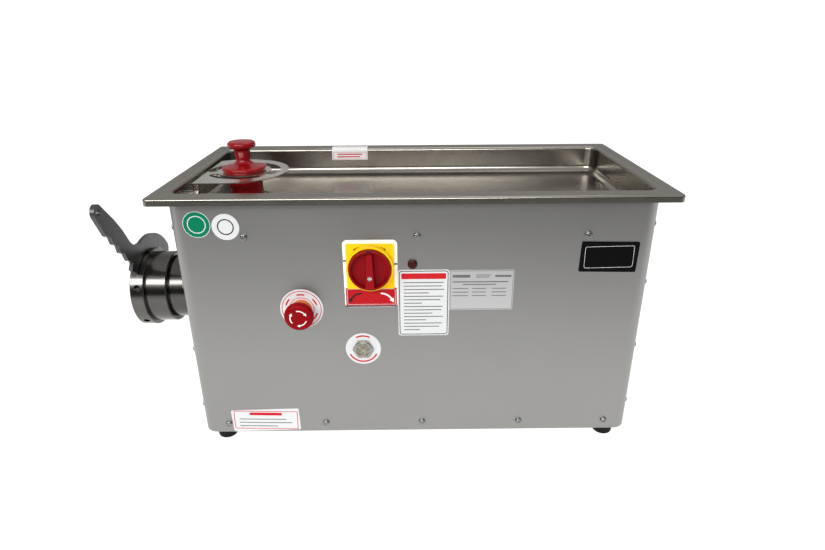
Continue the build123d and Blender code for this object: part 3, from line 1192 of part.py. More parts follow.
def make_panel_labels():
    """Stickers on the panel: instructions, hazard, round stickers, round legends, direction strip."""
    labels = [
        panel_label(334.85 - SIDE_X, 235.5, 70.5, 101.0, 4.0),
        panel_label(96.6 - SIDE_X, 41.0, 102.0, 38.5, 3.0, 0.3, 1.5),
        bar_y(18.0, FRONT_Y - 0.3, FRONT_Y, 38.0 - SIDE_X, CASING_TOP - 37.6),
        bar_y(18.0, FRONT_Y - 0.3, FRONT_Y, 75.4 - SIDE_X, CASING_TOP - 41.1),
        make_estop_label(),
        make_sight_label(),
        make_direction_strip(),
    ]
    return group(labels)


def make_tray_label():
    """Small label laid over the rear rim of the tray, down its bend and onto the wall."""
    x0, x1 = TRAY_LABEL_X
    wall, top = BASIN_TOP_REAR, RIM_TOP
    centre_y, centre_z = wall + BASIN_BEND, top - BASIN_BEND
    bend = bar_x(BASIN_BEND + 0.3, x0, x1, centre_y, centre_z)
    bend = bend - bar_x(BASIN_BEND, x0 - 1, x1 + 1, centre_y, centre_z)
    bend = bend & block(x0, x1, wall - 1, centre_y, centre_z, top + 1)
    label = bend + block(x0, x1, centre_y, centre_y + 14, top, top + 0.3)
    return label + block(x0, x1, wall - 0.3, wall, top - 20, centre_z)


NODES = {
    "front_cover": make_front_cover,
    "casing_body": make_casing_body,
    "base_pan": make_base_pan,
    "front_rail": make_front_rail,
    "casing_screws": make_casing_screws,
    "feet": make_feet,
    "foot_screws": make_foot_screws,
    "cable_gland": make_cable_gland,
    "tray": make_tray,
    "guard_plate": make_guard_plate,
    "guard_bolts": make_guard_bolts,
    "tray_label": make_tray_label,
    "stomper": make_stomper,
    "barrel": make_barrel,
    "plate_pin": make_plate_pin,
    "outlet_plate": make_outlet_plate,
    "ring_nut": make_ring_nut,
    "spanner": make_spanner,
    "feed_screw": make_feed_screw,
    "knife": make_knife,
    "gearbox_housing": make_gearbox_housing,
    "oil_filler": make_oil_filler,
    "gearbox_gasket": make_gearbox_gasket,
    "gearbox_cover": make_gearbox_cover,
    "drive_bolts": make_drive_bolts,
    "bearings": make_bearings,
    "shaft_seals": make_shaft_seals,
    "output_shaft": make_output_shaft,
    "output_gear": make_output_gear,
    "gear_key": make_gear_key,
    "layshaft": make_layshaft,
    "layshaft_gear": make_layshaft_gear,
    "motor_shaft": make_motor_shaft,
    "rotor_core": make_rotor_core,
    "motor_fan": make_motor_fan,
    "motor_frame": make_motor_frame,
    "motor_front_bell": make_motor_front_bell,
    "motor_rear_bell": make_motor_rear_bell,
    "stator_core": make_stator_core,
    "stator_windings": make_stator_windings,
    "fan_cowl": make_fan_cowl,
    "terminal_box": make_terminal_box,
    "run_capacitor": make_run_capacitor,
    "motor_cradle": make_motor_cradle,
    "switch_legend": make_switch_legend,
    "switch_collar": make_switch_collar,
    "switch_block": make_switch_block,
    "switch_knob": make_switch_knob,
    "knob_screw": make_knob_screw,
    "estop_collar": make_estop_collar,
    "estop_contacts": make_estop_contacts,
    "estop_stem": make_estop_stem,
    "estop_head": make_estop_head,
    "pilot_lamp": make_pilot_lamp,
    "sight_body": make_sight_body,
    "sight_lens": make_sight_lens,
    "sight_reflector": make_sight_reflector,
    "name_plate": make_name_plate,
    "data_plate": make_data_plate,
    "panel_labels": make_panel_labels,
}

for node, maker in NODES.items():
    save(maker(), node)
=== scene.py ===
"""Looks of the tray-top meat grinder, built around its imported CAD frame."""

import math

import bmesh
import bpy
from mathutils import Matrix, Vector


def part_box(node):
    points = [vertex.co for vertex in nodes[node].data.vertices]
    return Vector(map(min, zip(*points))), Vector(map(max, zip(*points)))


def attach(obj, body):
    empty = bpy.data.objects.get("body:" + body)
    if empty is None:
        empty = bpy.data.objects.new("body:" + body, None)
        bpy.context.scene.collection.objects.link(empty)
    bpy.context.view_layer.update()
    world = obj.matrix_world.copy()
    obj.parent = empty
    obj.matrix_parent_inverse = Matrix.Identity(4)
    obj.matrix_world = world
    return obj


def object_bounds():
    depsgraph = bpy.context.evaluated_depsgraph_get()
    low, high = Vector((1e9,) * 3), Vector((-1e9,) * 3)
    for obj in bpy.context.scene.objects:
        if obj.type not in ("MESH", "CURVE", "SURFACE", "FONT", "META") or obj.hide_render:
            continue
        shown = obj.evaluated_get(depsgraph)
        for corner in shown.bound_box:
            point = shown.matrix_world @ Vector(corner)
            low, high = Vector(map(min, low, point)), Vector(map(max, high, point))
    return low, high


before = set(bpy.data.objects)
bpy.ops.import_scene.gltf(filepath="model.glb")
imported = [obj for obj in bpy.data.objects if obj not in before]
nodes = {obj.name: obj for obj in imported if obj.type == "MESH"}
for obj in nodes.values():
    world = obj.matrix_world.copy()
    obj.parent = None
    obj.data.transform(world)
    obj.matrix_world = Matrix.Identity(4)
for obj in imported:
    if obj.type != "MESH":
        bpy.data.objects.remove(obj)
cad_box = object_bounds()

MM = 0.001
PRINT_HEIGHT = 0.05  # millimetres a printed graphic stands proud of its face


# ---------------------------------------------------------------- places read from the frame
cover_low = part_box("front_cover")[0]
LEFT = cover_low.x
FRONT = cover_low.y
HEAD_Z = (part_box("ring_nut")[0].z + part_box("ring_nut")[1].z) / 2


def middle(node):
    low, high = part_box(node)
    return (low + high) / 2


# ---------------------------------------------------------------- node materials
class Look:
    """A node material: a Principled shader fed by procedural detail in the frame's metres."""

    def __init__(self, name, color, metallic=0.0, rough=0.5, **sockets):
        self.mat = bpy.data.materials.new(name)
        self.mat.use_nodes = True
        self.tree = self.mat.node_tree
        self.shader = self.tree.nodes["Principled BSDF"]
        self.color = color
        self.set("Base Color", (*color, 1.0))
        self.set("Metallic", metallic)
        self.set("Roughness", rough)
        for key, value in sockets.items():
            self.set(key.replace("_", " "), value)
        self.place = self.new("ShaderNodeTexCoord").outputs["Object"]
        self.normal = None
        self.tint = None

    def set(self, socket, value):
        self.shader.inputs[socket].default_value = value

    def new(self, kind, inputs=None, **settings):
        node = self.tree.nodes.new(kind)
        for key, value in settings.items():
            setattr(node, key, value)
        for key, value in (inputs or {}).items():
            if hasattr(value, "is_output"):
                self.tree.links.new(value, node.inputs[key])
            else:
                node.inputs[key].default_value = value
        return node

    def math(self, operation, first, second=0.0):
        node = self.new("ShaderNodeMath", {0: first, 1: second}, operation=operation)
        return node.outputs[0]

    def stretched(self, scale, turn=(0, 0, 0)):
        node = self.new("ShaderNodeMapping", {"Vector": self.place, "Scale": scale,
                                              "Rotation": turn})
        return node.outputs[0]

    def turned(self, scale, spin=3.0, axis="X", centre=(0.0, 0.0, 0.0)):
        """Coordinates that follow lathe marks: along the axis, radius, and a slow one around."""
        moved = self.new("ShaderNodeVectorMath", {0: self.place, 1: centre},
                         operation="SUBTRACT").outputs[0]
        split = self.new("ShaderNodeSeparateXYZ", {0: moved})
        names = {"X": ("X", "Y", "Z"), "Y": ("Y", "Z", "X"), "Z": ("Z", "X", "Y")}[axis]
        along, one, two = (split.outputs[n] for n in names)
        radius = self.math("SQRT", self.math("ADD", self.math("MULTIPLY", one, one),
                                             self.math("MULTIPLY", two, two)))
        angle = self.math("ARCTAN2", one, two)
        joined = self.new("ShaderNodeCombineXYZ", {0: self.math("MULTIPLY", along, scale),
                                                   1: self.math("MULTIPLY", radius, scale),
                                                   2: self.math("MULTIPLY", angle, spin)})
        return joined.outputs[0]

    def noise(self, vector, scale=1.0, detail=3.0, rough=0.55, kind="FBM"):
        node = self.new("ShaderNodeTexNoise", {"Vector": vector, "Scale": scale, "Detail": detail,
                                               "Roughness": rough}, noise_type=kind)
        return node.outputs[0]

    def range(self, value, low, high, to_low, to_high):
        node = self.new("ShaderNodeMapRange", {0: value, 1: low, 2: high, 3: to_low, 4: to_high})
        return node.outputs[0]

    def shade(self, value, low, high, dark, light):
        """Scales the colour between dark and light by a value, on top of what is there."""
        mix = self.new("ShaderNodeMix", data_type="RGBA")
        self.tree.links.new(self.range(value, low, high, 0.0, 1.0), mix.inputs[0])
        base = self.tint
        for index, factor in ((6, dark), (7, light)):
            if base is None:
                mix.inputs[index].default_value = (*[c * factor for c in self.color], 1)
            else:
                scaled = self.new("ShaderNodeMix", data_type="RGBA", blend_type="MULTIPLY")
                scaled.inputs[0].default_value = 1.0
                self.tree.links.new(base, scaled.inputs[6])
                scaled.inputs[7].default_value = (factor, factor, factor, 1)
                self.tree.links.new(scaled.outputs[2], mix.inputs[index])
        self.tint = mix.outputs[2]
        self.tree.links.new(self.tint, self.shader.inputs["Base Color"])

    def blotch(self, value, low, high, color):
        """Lays another colour over what is there, where a value is high."""
        mix = self.new("ShaderNodeMix", data_type="RGBA")
        self.tree.links.new(self.range(value, low, high, 0.0, 1.0), mix.inputs[0])
        if self.tint is None:
            mix.inputs[6].default_value = (*self.color, 1)
        else:
            self.tree.links.new(self.tint, mix.inputs[6])
        mix.inputs[7].default_value = (*color, 1)
        self.tint = mix.outputs[2]
        self.tree.links.new(self.tint, self.shader.inputs["Base Color"])

    def roughen(self, value, low, high, smooth, rough):
        self.tree.links.new(self.range(value, low, high, smooth, rough),
                            self.shader.inputs["Roughness"])

    def bump(self, value, depth, strength=1.0):
        inputs = {"Height": value, "Distance": depth, "Strength": strength}
        if self.normal is not None:
            inputs["Normal"] = self.normal
        self.normal = self.new("ShaderNodeBump", inputs).outputs[0]
        self.tree.links.new(self.normal, self.shader.inputs["Normal"])

    def edges(self, light=1.25, low=0.505, high=0.56):
        """Brighter worn edges, from the shape's own curvature."""
        point = self.new("ShaderNodeNewGeometry").outputs["Pointiness"]
        self.shade(point, low, high, 1.0, light)


def brushed(name, color, rough=(0.26, 0.40), scale=(12.0, 12.0, 1500.0), depth=0.000004):
    look = Look(name, color, 1.0, 0.33)
    grain = look.noise(look.stretched(scale), detail=4.0, rough=0.7)
    cloud = look.noise(look.place, 5.0, 3.0)
    look.shade(grain, 0.3, 0.7, 0.975, 1.02)
    look.shade(cloud, 0.3, 0.7, 0.97, 1.02)
    look.roughen(look.math("ADD", grain, look.math("MULTIPLY", cloud, 0.4)), 0.4, 1.0, *rough)
    look.bump(grain, depth)
    return look.mat


def drawn(name, color, rough=(0.14, 0.26)):
    """Deep drawn and buffed sheet: soft waves, buffing haze and fine scratches."""
    look = Look(name, color, 1.0, 0.2)
    wave = look.noise(look.place, 5.0, 0.0)
    scratch = look.noise(look.stretched((14.0, 420.0, 420.0)), detail=5.0, rough=0.75)
    haze = look.noise(look.place, 20.0, 3.0)
    look.shade(haze, 0.3, 0.75, 0.96, 1.03)
    look.roughen(look.math("ADD", haze, look.math("MULTIPLY", scratch, 0.5)), 0.45, 1.05, *rough)
    look.bump(wave, 0.00018, 0.25)
    look.bump(scratch, 0.0000015)
    return look.mat


def machined(name, color, rough=(0.12, 0.26), scale=1400.0, axis="X", centre=None, depth=0.00001):
    """Turned metal with lathe marks round its axis."""
    centre = centre or (0.0, 0.0, HEAD_Z)
    look = Look(name, color, 1.0, 0.2)
    marks = look.noise(look.turned(scale, 2.0, axis, centre), detail=4.0, rough=0.7)
    coarse = look.noise(look.turned(220.0, 1.5, axis, centre), detail=2.0)
    stain = look.noise(look.place, 45.0, 4.0)
    look.shade(stain, 0.35, 0.75, 0.90, 1.04)
    look.shade(marks, 0.3, 0.7, 0.93, 1.04)
    look.roughen(look.math("ADD", marks, look.math("MULTIPLY", stain, 0.5)), 0.45, 1.05, *rough)
    look.bump(coarse, 0.00004)
    look.bump(marks, depth)
    look.edges(1.2)
    return look.mat


def forged(name, color, rough=(0.34, 0.55), metallic=1.0, depth=0.00025):
    look = Look(name, color, metallic, 0.45)
    grain = look.noise(look.place, 900.0, 4.0, 0.65)
    stain = look.noise(look.place, 60.0, 4.0)
    look.shade(stain, 0.3, 0.75, 0.80, 1.12)
    look.roughen(stain, 0.3, 0.75, *rough)
    look.bump(grain, depth, 0.35)
    look.edges(1.5)
    return look.mat


def plastic(name, color, rough=(0.24, 0.34), grain=1800.0, depth=0.00004, **sockets):
    sockets.setdefault("Specular_IOR_Level", 0.08)
    look = Look(name, color, 0.0, 0.3, **sockets)
    micro = look.noise(look.place, grain, 3.0)
    cloud = look.noise(look.place, 40.0, 3.0)
    look.shade(cloud, 0.3, 0.75, 0.94, 1.05)
    look.roughen(look.math("ADD", cloud, look.math("MULTIPLY", micro, 0.3)), 0.4, 0.85, *rough)
    look.bump(micro, depth, 0.4)
    look.edges(1.15)
    return look.mat


def rubber(name, color):
    look = Look(name, color, 0.0, 0.7, Specular_IOR_Level=0.12)
    grain = look.noise(look.place, 1600.0, 4.0)
    dust = look.noise(look.place, 90.0, 4.0)
    look.blotch(dust, 0.55, 0.85, (0.022, 0.022, 0.021))
    look.roughen(dust, 0.3, 0.8, 0.55, 0.85)
    look.bump(grain, 0.00012, 0.5)
    return look.mat


def film(name, color, rough=(0.22, 0.34)):
    """Printed vinyl: faint mottling and a slightly wavy face."""
    look = Look(name, color, 0.0, 0.3, Specular_IOR_Level=0.14)
    mottle = look.noise(look.place, 320.0, 4.0)
    wave = look.noise(look.place, 60.0, 2.0)
    look.shade(mottle, 0.3, 0.75, 0.965, 1.01)
    look.roughen(mottle, 0.3, 0.75, *rough)
    look.bump(wave, 0.0002, 0.3)
    return look.mat


def enamel(name, color, rough=(0.25, 0.42)):
    """Sprayed paint with orange peel."""
    look = Look(name, color, 0.0, 0.35, Specular_IOR_Level=0.2)
    peel = look.noise(look.place, 420.0, 3.0)
    dust = look.noise(look.place, 30.0, 4.0)
    look.shade(dust, 0.3, 0.8, 0.90, 1.08)
    look.roughen(dust, 0.3, 0.8, *rough)
    look.bump(peel, 0.00012, 0.35)
    look.edges(1.2)
    return look.mat


def cast(name, color, metallic=1.0, rough=(0.42, 0.62)):
    """Sand cast metal."""
    look = Look(name, color, metallic, 0.5)
    sand = look.noise(look.place, 520.0, 5.0, 0.7)
    stain = look.noise(look.place, 26.0, 4.0)
    look.shade(stain, 0.3, 0.8, 0.85, 1.1)
    look.roughen(sand, 0.3, 0.7, *rough)
    look.bump(sand, 0.0005, 0.4)
    look.edges(1.25)
    return look.mat


def laminated(name, color, per_metre=2000.0, axis=0, metallic=1.0):
    """Stacked sheets or wound wire: fine lines across one axis."""
    look = Look(name, color, metallic, 0.45)
    scale = [30.0, 30.0, 30.0]
    scale[axis] = per_metre
    lines = look.noise(look.stretched(tuple(scale)), detail=2.0)
    look.shade(lines, 0.35, 0.65, 0.7, 1.15)
    look.roughen(lines, 0.3, 0.7, 0.3, 0.55)
    look.bump(lines, 0.0002, 0.6)
    return look.mat


def clear(name, color):
    look = Look(name, color, 0.0, 0.05, Transmission_Weight=0.9, IOR=1.49)
    smear = look.noise(look.place, 260.0, 4.0)
    look.shade(smear, 0.3, 0.8, 0.92, 1.0)
    look.roughen(smear, 0.4, 0.8, 0.02, 0.12)
    look.bump(smear, 0.00003, 0.3)
    return look.mat


ESTOP = middle("estop_head")
KNOB = middle("switch_collar")

MATERIALS = {
    "front_cover": brushed("brushed_panel", (0.305, 0.303, 0.297), (0.33, 0.44)),
    "casing_body": brushed("brushed_body", (0.30, 0.298, 0.292), (0.33, 0.44)),
    "base_pan": brushed("zinc_pan", (0.55, 0.55, 0.52), (0.3, 0.5), (30.0, 900.0, 30.0)),
    "front_rail": brushed("zinc_rail", (0.55, 0.55, 0.52), (0.3, 0.5), (20.0, 900.0, 900.0)),
    "casing_screws": drawn("screw_steel", (0.27, 0.27, 0.26), (0.14, 0.28)),
    "feet": rubber("foot_rubber", (0.006, 0.006, 0.006)),
    "foot_screws": drawn("zinc_screws", (0.5, 0.5, 0.48), (0.2, 0.4)),
    "cable_gland": plastic("gland_nylon", (0.02, 0.02, 0.022), (0.35, 0.5)),
    "tray": drawn("drawn_steel", (0.262, 0.248, 0.218), (0.19, 0.27)),
    "guard_plate": drawn("guard_steel", (0.74, 0.72, 0.67), (0.16, 0.30)),
    "guard_bolts": drawn("guard_bolt_steel", (0.55, 0.54, 0.52), (0.12, 0.25)),
    "tray_label": film("tray_label_film", (0.70, 0.70, 0.69)),
    "stomper": plastic("stomper_red", (0.235, 0.002, 0.004), (0.10, 0.20), 900.0, 0.00002,
                       Specular_IOR_Level=0.30),
    "barrel": machined("barrel_steel", (0.098, 0.096, 0.090), (0.13, 0.24)),
    "plate_pin": machined("pin_steel", (0.45, 0.45, 0.44)),
    "outlet_plate": machined("plate_steel", (0.30, 0.30, 0.30), (0.2, 0.38)),
    "ring_nut": machined("nut_steel", (0.115, 0.112, 0.106), (0.13, 0.24)),
    "spanner": forged("spanner_steel", (0.070, 0.071, 0.073), (0.3, 0.46)),
    "feed_screw": machined("worm_steel", (0.50, 0.49, 0.47), (0.2, 0.4)),
    "knife": machined("knife_steel", (0.45, 0.45, 0.45), (0.15, 0.3)),
    "gearbox_housing": cast("housing_cast", (0.30, 0.31, 0.33)),
    "oil_filler": machined("filler_brass", (0.62, 0.45, 0.18), axis="Z"),
    "gearbox_gasket": forged("gasket_paper", (0.13, 0.10, 0.07), (0.7, 0.9), 0.0),
    "gearbox_cover": cast("cover_cast", (0.32, 0.33, 0.35)),
    "drive_bolts": forged("bolt_zinc", (0.52, 0.51, 0.46), (0.25, 0.4), 1.0, 0.0001),
    "bearings": machined("bearing_steel", (0.5, 0.5, 0.5), (0.08, 0.2)),
    "shaft_seals": rubber("seal_rubber", (0.03, 0.02, 0.015)),
    "output_shaft": machined("shaft_steel", (0.42, 0.42, 0.42)),
    "output_gear": machined("wheel_steel", (0.34, 0.34, 0.34), (0.2, 0.35)),
    "gear_key": forged("key_steel", (0.4, 0.4, 0.4)),
    "layshaft": machined("layshaft_steel", (0.36, 0.36, 0.36), (0.2, 0.35)),
    "layshaft_gear": machined("lay_wheel_steel", (0.34, 0.34, 0.34), (0.2, 0.35)),
    "motor_shaft": machined("motor_shaft_steel", (0.42, 0.42, 0.42)),
    "rotor_core": laminated("rotor_laminations", (0.22, 0.22, 0.23)),
    "motor_fan": plastic("fan_plastic", (0.02, 0.02, 0.022), (0.4, 0.55)),
    "motor_frame": enamel("motor_enamel", (0.07, 0.09, 0.11)),
    "motor_front_bell": cast("front_bell_cast", (0.45, 0.46, 0.47)),
    "motor_rear_bell": cast("rear_bell_cast", (0.45, 0.46, 0.47)),
    "stator_core": laminated("stator_laminations", (0.24, 0.24, 0.25)),
    "stator_windings": laminated("copper_winding", (0.42, 0.13, 0.04), 1400.0, 1, 0.6),
    "fan_cowl": enamel("cowl_enamel", (0.07, 0.09, 0.11)),
    "terminal_box": plastic("terminal_plastic", (0.02, 0.02, 0.022), (0.4, 0.55)),
    "run_capacitor": drawn("capacitor_can", (0.6, 0.6, 0.6), (0.2, 0.35)),
    "motor_cradle": brushed("cradle_zinc", (0.5, 0.5, 0.46), (0.3, 0.5), (30.0, 900.0, 30.0)),
    "switch_legend": plastic("legend_white", (0.80, 0.80, 0.80), (0.3, 0.42)),
    "switch_collar": plastic("collar_yellow", (0.90, 0.58, 0.008), (0.28, 0.4)),
    "switch_block": plastic("switch_grey", (0.2, 0.2, 0.21), (0.4, 0.5)),
    "switch_knob": plastic("knob_red", (0.235, 0.004, 0.007), (0.25, 0.38)),
    "knob_screw": drawn("knob_screw_zinc", (0.42, 0.45, 0.42), (0.2, 0.35)),
    "estop_collar": plastic("collar_orange", (0.62, 0.16, 0.03), (0.3, 0.4)),
    "estop_contacts": plastic("contact_grey", (0.2, 0.2, 0.21), (0.4, 0.5)),
    "estop_stem": plastic("stem_black", (0.012, 0.012, 0.013), (0.35, 0.5)),
    "estop_head": plastic("estop_red", (0.235, 0.003, 0.006), (0.20, 0.32),
                          Specular_IOR_Level=0.04),
    "pilot_lamp": plastic("lamp_red", (0.042, 0.003, 0.003), (0.08, 0.2), 600.0, 0.00002,
                          Specular_IOR_Level=0.2),
    "sight_body": machined("sight_brass", (0.32, 0.31, 0.28), (0.18, 0.32), axis="Y",
                           centre=(middle("sight_lens").x, 0.0, middle("sight_lens").z)),
    "sight_lens": clear("sight_glass_clear", (0.75, 0.74, 0.62)),
    "sight_reflector": film("reflector_white", (0.70, 0.70, 0.68)),
    "name_plate": plastic("plate_black", (0.004, 0.004, 0.0045), (0.25, 0.38),
                          Specular_IOR_Level=0.02),
    "data_plate": brushed("anodised_plate", (0.60, 0.61, 0.61), (0.35, 0.5)),
    "panel_labels": film("label_vinyl", (0.64, 0.65, 0.66)),
}
for node, mat in MATERIALS.items():
    piece = nodes[node]
    if not piece.material_slots:
        piece.data.materials.append(mat)
    for material_slot in piece.material_slots:
        material_slot.material = mat

# ---------------------------------------------------------------- printed graphics
INK = {
    "red": film("ink_red", (0.52, 0.012, 0.02)),
    "deep_red": film("ink_deep_red", (0.43, 0.006, 0.011)),
    "black": film("ink_black", (0.012, 0.012, 0.013)),
    "grey": film("ink_grey", (0.13, 0.13, 0.135)),
    "pale": film("ink_pale", (0.72, 0.66, 0.66)),
    "white": film("ink_white", (0.78, 0.79, 0.79)),
    "green": film("ink_green", (0.0, 0.17, 0.085)),
}


def circle(x, z, radius, count=64, start=0.0, sweep=360.0):
    full = sweep >= 360.0
    steps = count if full else count + 1
    points = []
    for step in range(steps):
        angle = math.radians(start + sweep * step / count)
        points.append((x + radius * math.cos(angle), z + radius * math.sin(angle)))
    return points


def rounded(x, z, width, height, radius, turn=0.0, count=6):
    points = []
    for corner, (sx, sz) in enumerate(((1, 1), (-1, 1), (-1, -1), (1, -1))):
        cx = sx * (width / 2 - radius)
        cz = sz * (height / 2 - radius)
        for step in range(count + 1):
            angle = math.radians(90 * corner + 90 * step / count)
            points.append((cx + radius * math.cos(angle), cz + radius * math.sin(angle)))
    angle = math.radians(turn)
    return [(x + px * math.cos(angle) - pz * math.sin(angle),
             z + px * math.sin(angle) + pz * math.cos(angle)) for px, pz in points]


class Print:
    """Thin raised print on a face that looks along -Y, in millimetres along X and Z."""

    def __init__(self, name, ink, face_y, slot="label_film", body="chassis"):
        self.name, self.ink, self.y, self.slot = name, ink, face_y, slot
        self.body = body
        self.mesh = bmesh.new()

    def ring(self, outer, inner):
        """A closed band between two loops with the same number of points."""
        front = self.y - PRINT_HEIGHT * MM
        loops = []
        for points in (outer, inner):
            loops.append([self.mesh.verts.new((px * MM, front, pz * MM)) for px, pz in points])
            loops.append([self.mesh.verts.new((px * MM, self.y, pz * MM)) for px, pz in points])
        front_out, back_out, front_in, back_in = loops
        count = len(outer)
        for i in range(count):
            j = (i + 1) % count
            self.mesh.faces.new((front_out[i], front_in[i], front_in[j], front_out[j]))
            self.mesh.faces.new((front_out[i], front_out[j], back_out[j], back_out[i]))
            self.mesh.faces.new((front_in[j], front_in[i], back_in[i], back_in[j]))
            self.mesh.faces.new((back_out[i], back_out[j], back_in[j], back_in[i]))
        return self

    def solid(self, points):
        front = self.y - PRINT_HEIGHT * MM
        top = [self.mesh.verts.new((px * MM, front, pz * MM)) for px, pz in points]
        low = [self.mesh.verts.new((px * MM, self.y, pz * MM)) for px, pz in points]
        self.mesh.faces.new(top)
        self.mesh.faces.new(list(reversed(low)))
        for i in range(len(points)):
            j = (i + 1) % len(points)
            self.mesh.faces.new((top[j], top[i], low[i], low[j]))
        return self

    def bar(self, x0, x1, z, height, turn=0.0, about=None):
        points = [(x0, z - height / 2), (x1, z - height / 2), (x1, z + height / 2),
                  (x0, z + height / 2)]
        if turn:
            ax, az = about
            angle = math.radians(turn)
            points = [(ax + (px - ax) * math.cos(angle) - (pz - az) * math.sin(angle),
                       az + (px - ax) * math.sin(angle) + (pz - az) * math.cos(angle))
                      for px, pz in points]
        return self.solid(points)

    def arc(self, x, z, radius, width, start, sweep, count=24):
        outer = circle(x, z, radius + width / 2, count, start, sweep)
        inner = circle(x, z, radius - width / 2, count, start, sweep)
        for i in range(count):
            self.solid([inner[i], outer[i], outer[i + 1], inner[i + 1]])
        return self

    def done(self):
        bmesh.ops.recalc_face_normals(self.mesh, faces=self.mesh.faces)
        data = bpy.data.meshes.new(self.name)
        self.mesh.to_mesh(data)
        self.mesh.free()
        piece = bpy.data.objects.new(self.name, data)
        bpy.context.scene.collection.objects.link(piece)
        data.materials.append(INK[self.ink])
        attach(piece, self.body)
        return piece


# how far each printed face stands in front of the cover, in millimetres
LABEL_Y = FRONT - 0.3 * MM
DATA_Y = FRONT - 0.5 * MM
SIGHT_LEGEND_Y = FRONT - 0.6 * MM
NAME_PLATE_Y = FRONT - 0.8 * MM
STOP_LEGEND_Y = FRONT - 1.0 * MM
SWITCH_LEGEND_Y = FRONT - 2.0 * MM
STRIP_Y = SWITCH_LEGEND_Y - 0.8 * MM
BAND_Y = STRIP_Y - PRINT_HEIGHT * MM
COLLAR_Y = SWITCH_LEGEND_Y - 4.0 * MM
left = LEFT / MM

# instruction label: black frame, red band and greyed lines
ix, iz = left + 334.85, 235.5
Print("instruction_frame", "black", LABEL_Y).ring(
    rounded(ix, iz, 67.5, 98.0, 4.0), rounded(ix, iz, 65.3, 95.8, 2.9)).done()
Print("instruction_band", "red", LABEL_Y).solid(rounded(ix, iz + 41.0, 61.0, 8.5, 1.0)).done()
lines = Print("instruction_lines", "grey", LABEL_Y)
LENGTHS = (0.98, 0.94, 0.99, 0.62, 0.97, 0.9, 0.45, 0.96, 0.93, 0.71, 0.98, 0.55, 0.95, 0.88, 0.4)
for row, part in enumerate(LENGTHS):
    lines.bar(ix - 27.5, ix - 27.5 + 56.0 * part, iz + 31.5 - 5.2 * row, 1.3)
lines.done()

# notice label: red frame and band over greyed lines
hx, hz, turn = left + 96.6, 41.0, -1.5
Print("notice_frame", "red", LABEL_Y).ring(
    rounded(hx, hz, 96.0, 32.5, 1.5, turn), rounded(hx, hz, 93.8, 30.3, 0.6, turn)).done()
Print("notice_band", "red", LABEL_Y).bar(hx - 24, hx + 24, hz + 11.0, 5.0, turn, (hx, hz)).done()
lines = Print("notice_lines", "grey", LABEL_Y)
for row, part in enumerate((0.86, 0.97, 0.7)):
    lines.bar(hx - 40, hx - 40 + 82 * part, hz + 1.5 - 6.2 * row, 1.4, turn, (hx, hz))
lines.done()

# round stickers: plain discs and rings
gx, gz = left + 38.0, 352.4
Print("green_sticker", "green", LABEL_Y).ring(circle(gx, gz, 17.2), circle(gx, gz, 12.2)).done()
Print("green_sticker_middle", "green", LABEL_Y).solid(circle(gx, gz, 10.9)).done()
wx, wz = left + 75.4, 348.9
Print("white_sticker_ring", "black", LABEL_Y).ring(circle(wx, wz, 11.0), circle(wx, wz, 9.4)).done()

# emergency stop legend
ex, ez = ESTOP.x / MM, ESTOP.z / MM
Print("stop_legend_ring", "red", STOP_LEGEND_Y).ring(
    circle(ex, ez, 27.6), circle(ex, ez, 26.6)).done()
Print("stop_legend_inner", "red", STOP_LEGEND_Y).ring(
    circle(ex, ez, 17.6), circle(ex, ez, 16.8)).done()
ticks = Print("stop_legend_ticks", "red", STOP_LEGEND_Y)
for angle in (30, 90, 150, 210, 270, 330):
    ticks.arc(ex, ez, 22.0, 2.2, angle - 14, 28, 10)
ticks.done()

# oil sight legend
sx, sz = middle("sight_lens").x / MM, middle("sight_lens").z / MM
ticks = Print("sight_legend_ticks", "red", SIGHT_LEGEND_Y)
ticks.arc(sx, sz, 20.8, 2.4, 62, 56, 16)
ticks.arc(sx, sz, 20.8, 2.4, 205, 130, 30)
ticks.done()

Print("sight_centre", "deep_red", FRONT + 1.8 * MM, "white_plastic").solid(
    circle(sx, sz, 2.3, 24)).done()

# data plate: greyed lines
px, pz = left + 414.3, 255.0
lines = Print("data_lines", "grey", DATA_Y, "anodised_plate")
lines.bar(px - 40, px - 16, pz + 21, 4.2)
lines.bar(px - 8, px + 12, pz + 22.5, 1.2).bar(px - 8, px + 10, pz + 19.5, 1.2)
lines.bar(px + 18, px + 40, pz + 21, 3.0)
lines.bar(px - 40, px + 36, pz + 12.5, 1.6).bar(px - 26, px + 20, pz + 8.6, 1.4)
for row in range(3):
    lines.bar(px - 40, px - 18, pz + 2.5 - 5.4 * row, 1.1)
    lines.bar(px - 13, px + 6, pz + 2.5 - 5.4 * row, 1.1)
    lines.bar(px + 14, px + 34, pz + 2.5 - 5.4 * row, 1.1)
lines.done()
Print("data_frame", "black", DATA_Y, "anodised_plate").ring(
    rounded(px, pz, 85.6, 57.8, 1.0), rounded(px, pz, 84.8, 57.0, 0.7)).done()

# name plate: hairline frame only
nx, nz = (middle("name_plate").x / MM, middle("name_plate").z / MM)
Print("name_frame", "pale", NAME_PLATE_Y, "black_plate").ring(
    rounded(nx, nz, 66.0, 31.0, 3.0, 1.0), rounded(nx, nz, 65.0, 30.0, 2.6, 1.0)).done()

# main switch legends
kx, kz = KNOB.x / MM, KNOB.z / MM
low, top = 234.0, kz - 32.0
sz0 = (low + top) / 2
Print("direction_band", "deep_red", STRIP_Y, "white_plastic").solid(
    rounded(kx, sz0, 69.6, top - low - 0.4, 1.0)).done()
Print("direction_frame", "pale", BAND_Y, "white_plastic").ring(
    rounded(kx, sz0, 66.0, top - low - 3.4, 1.0),
    rounded(kx, sz0, 65.0, top - low - 4.4, 0.6)).done()


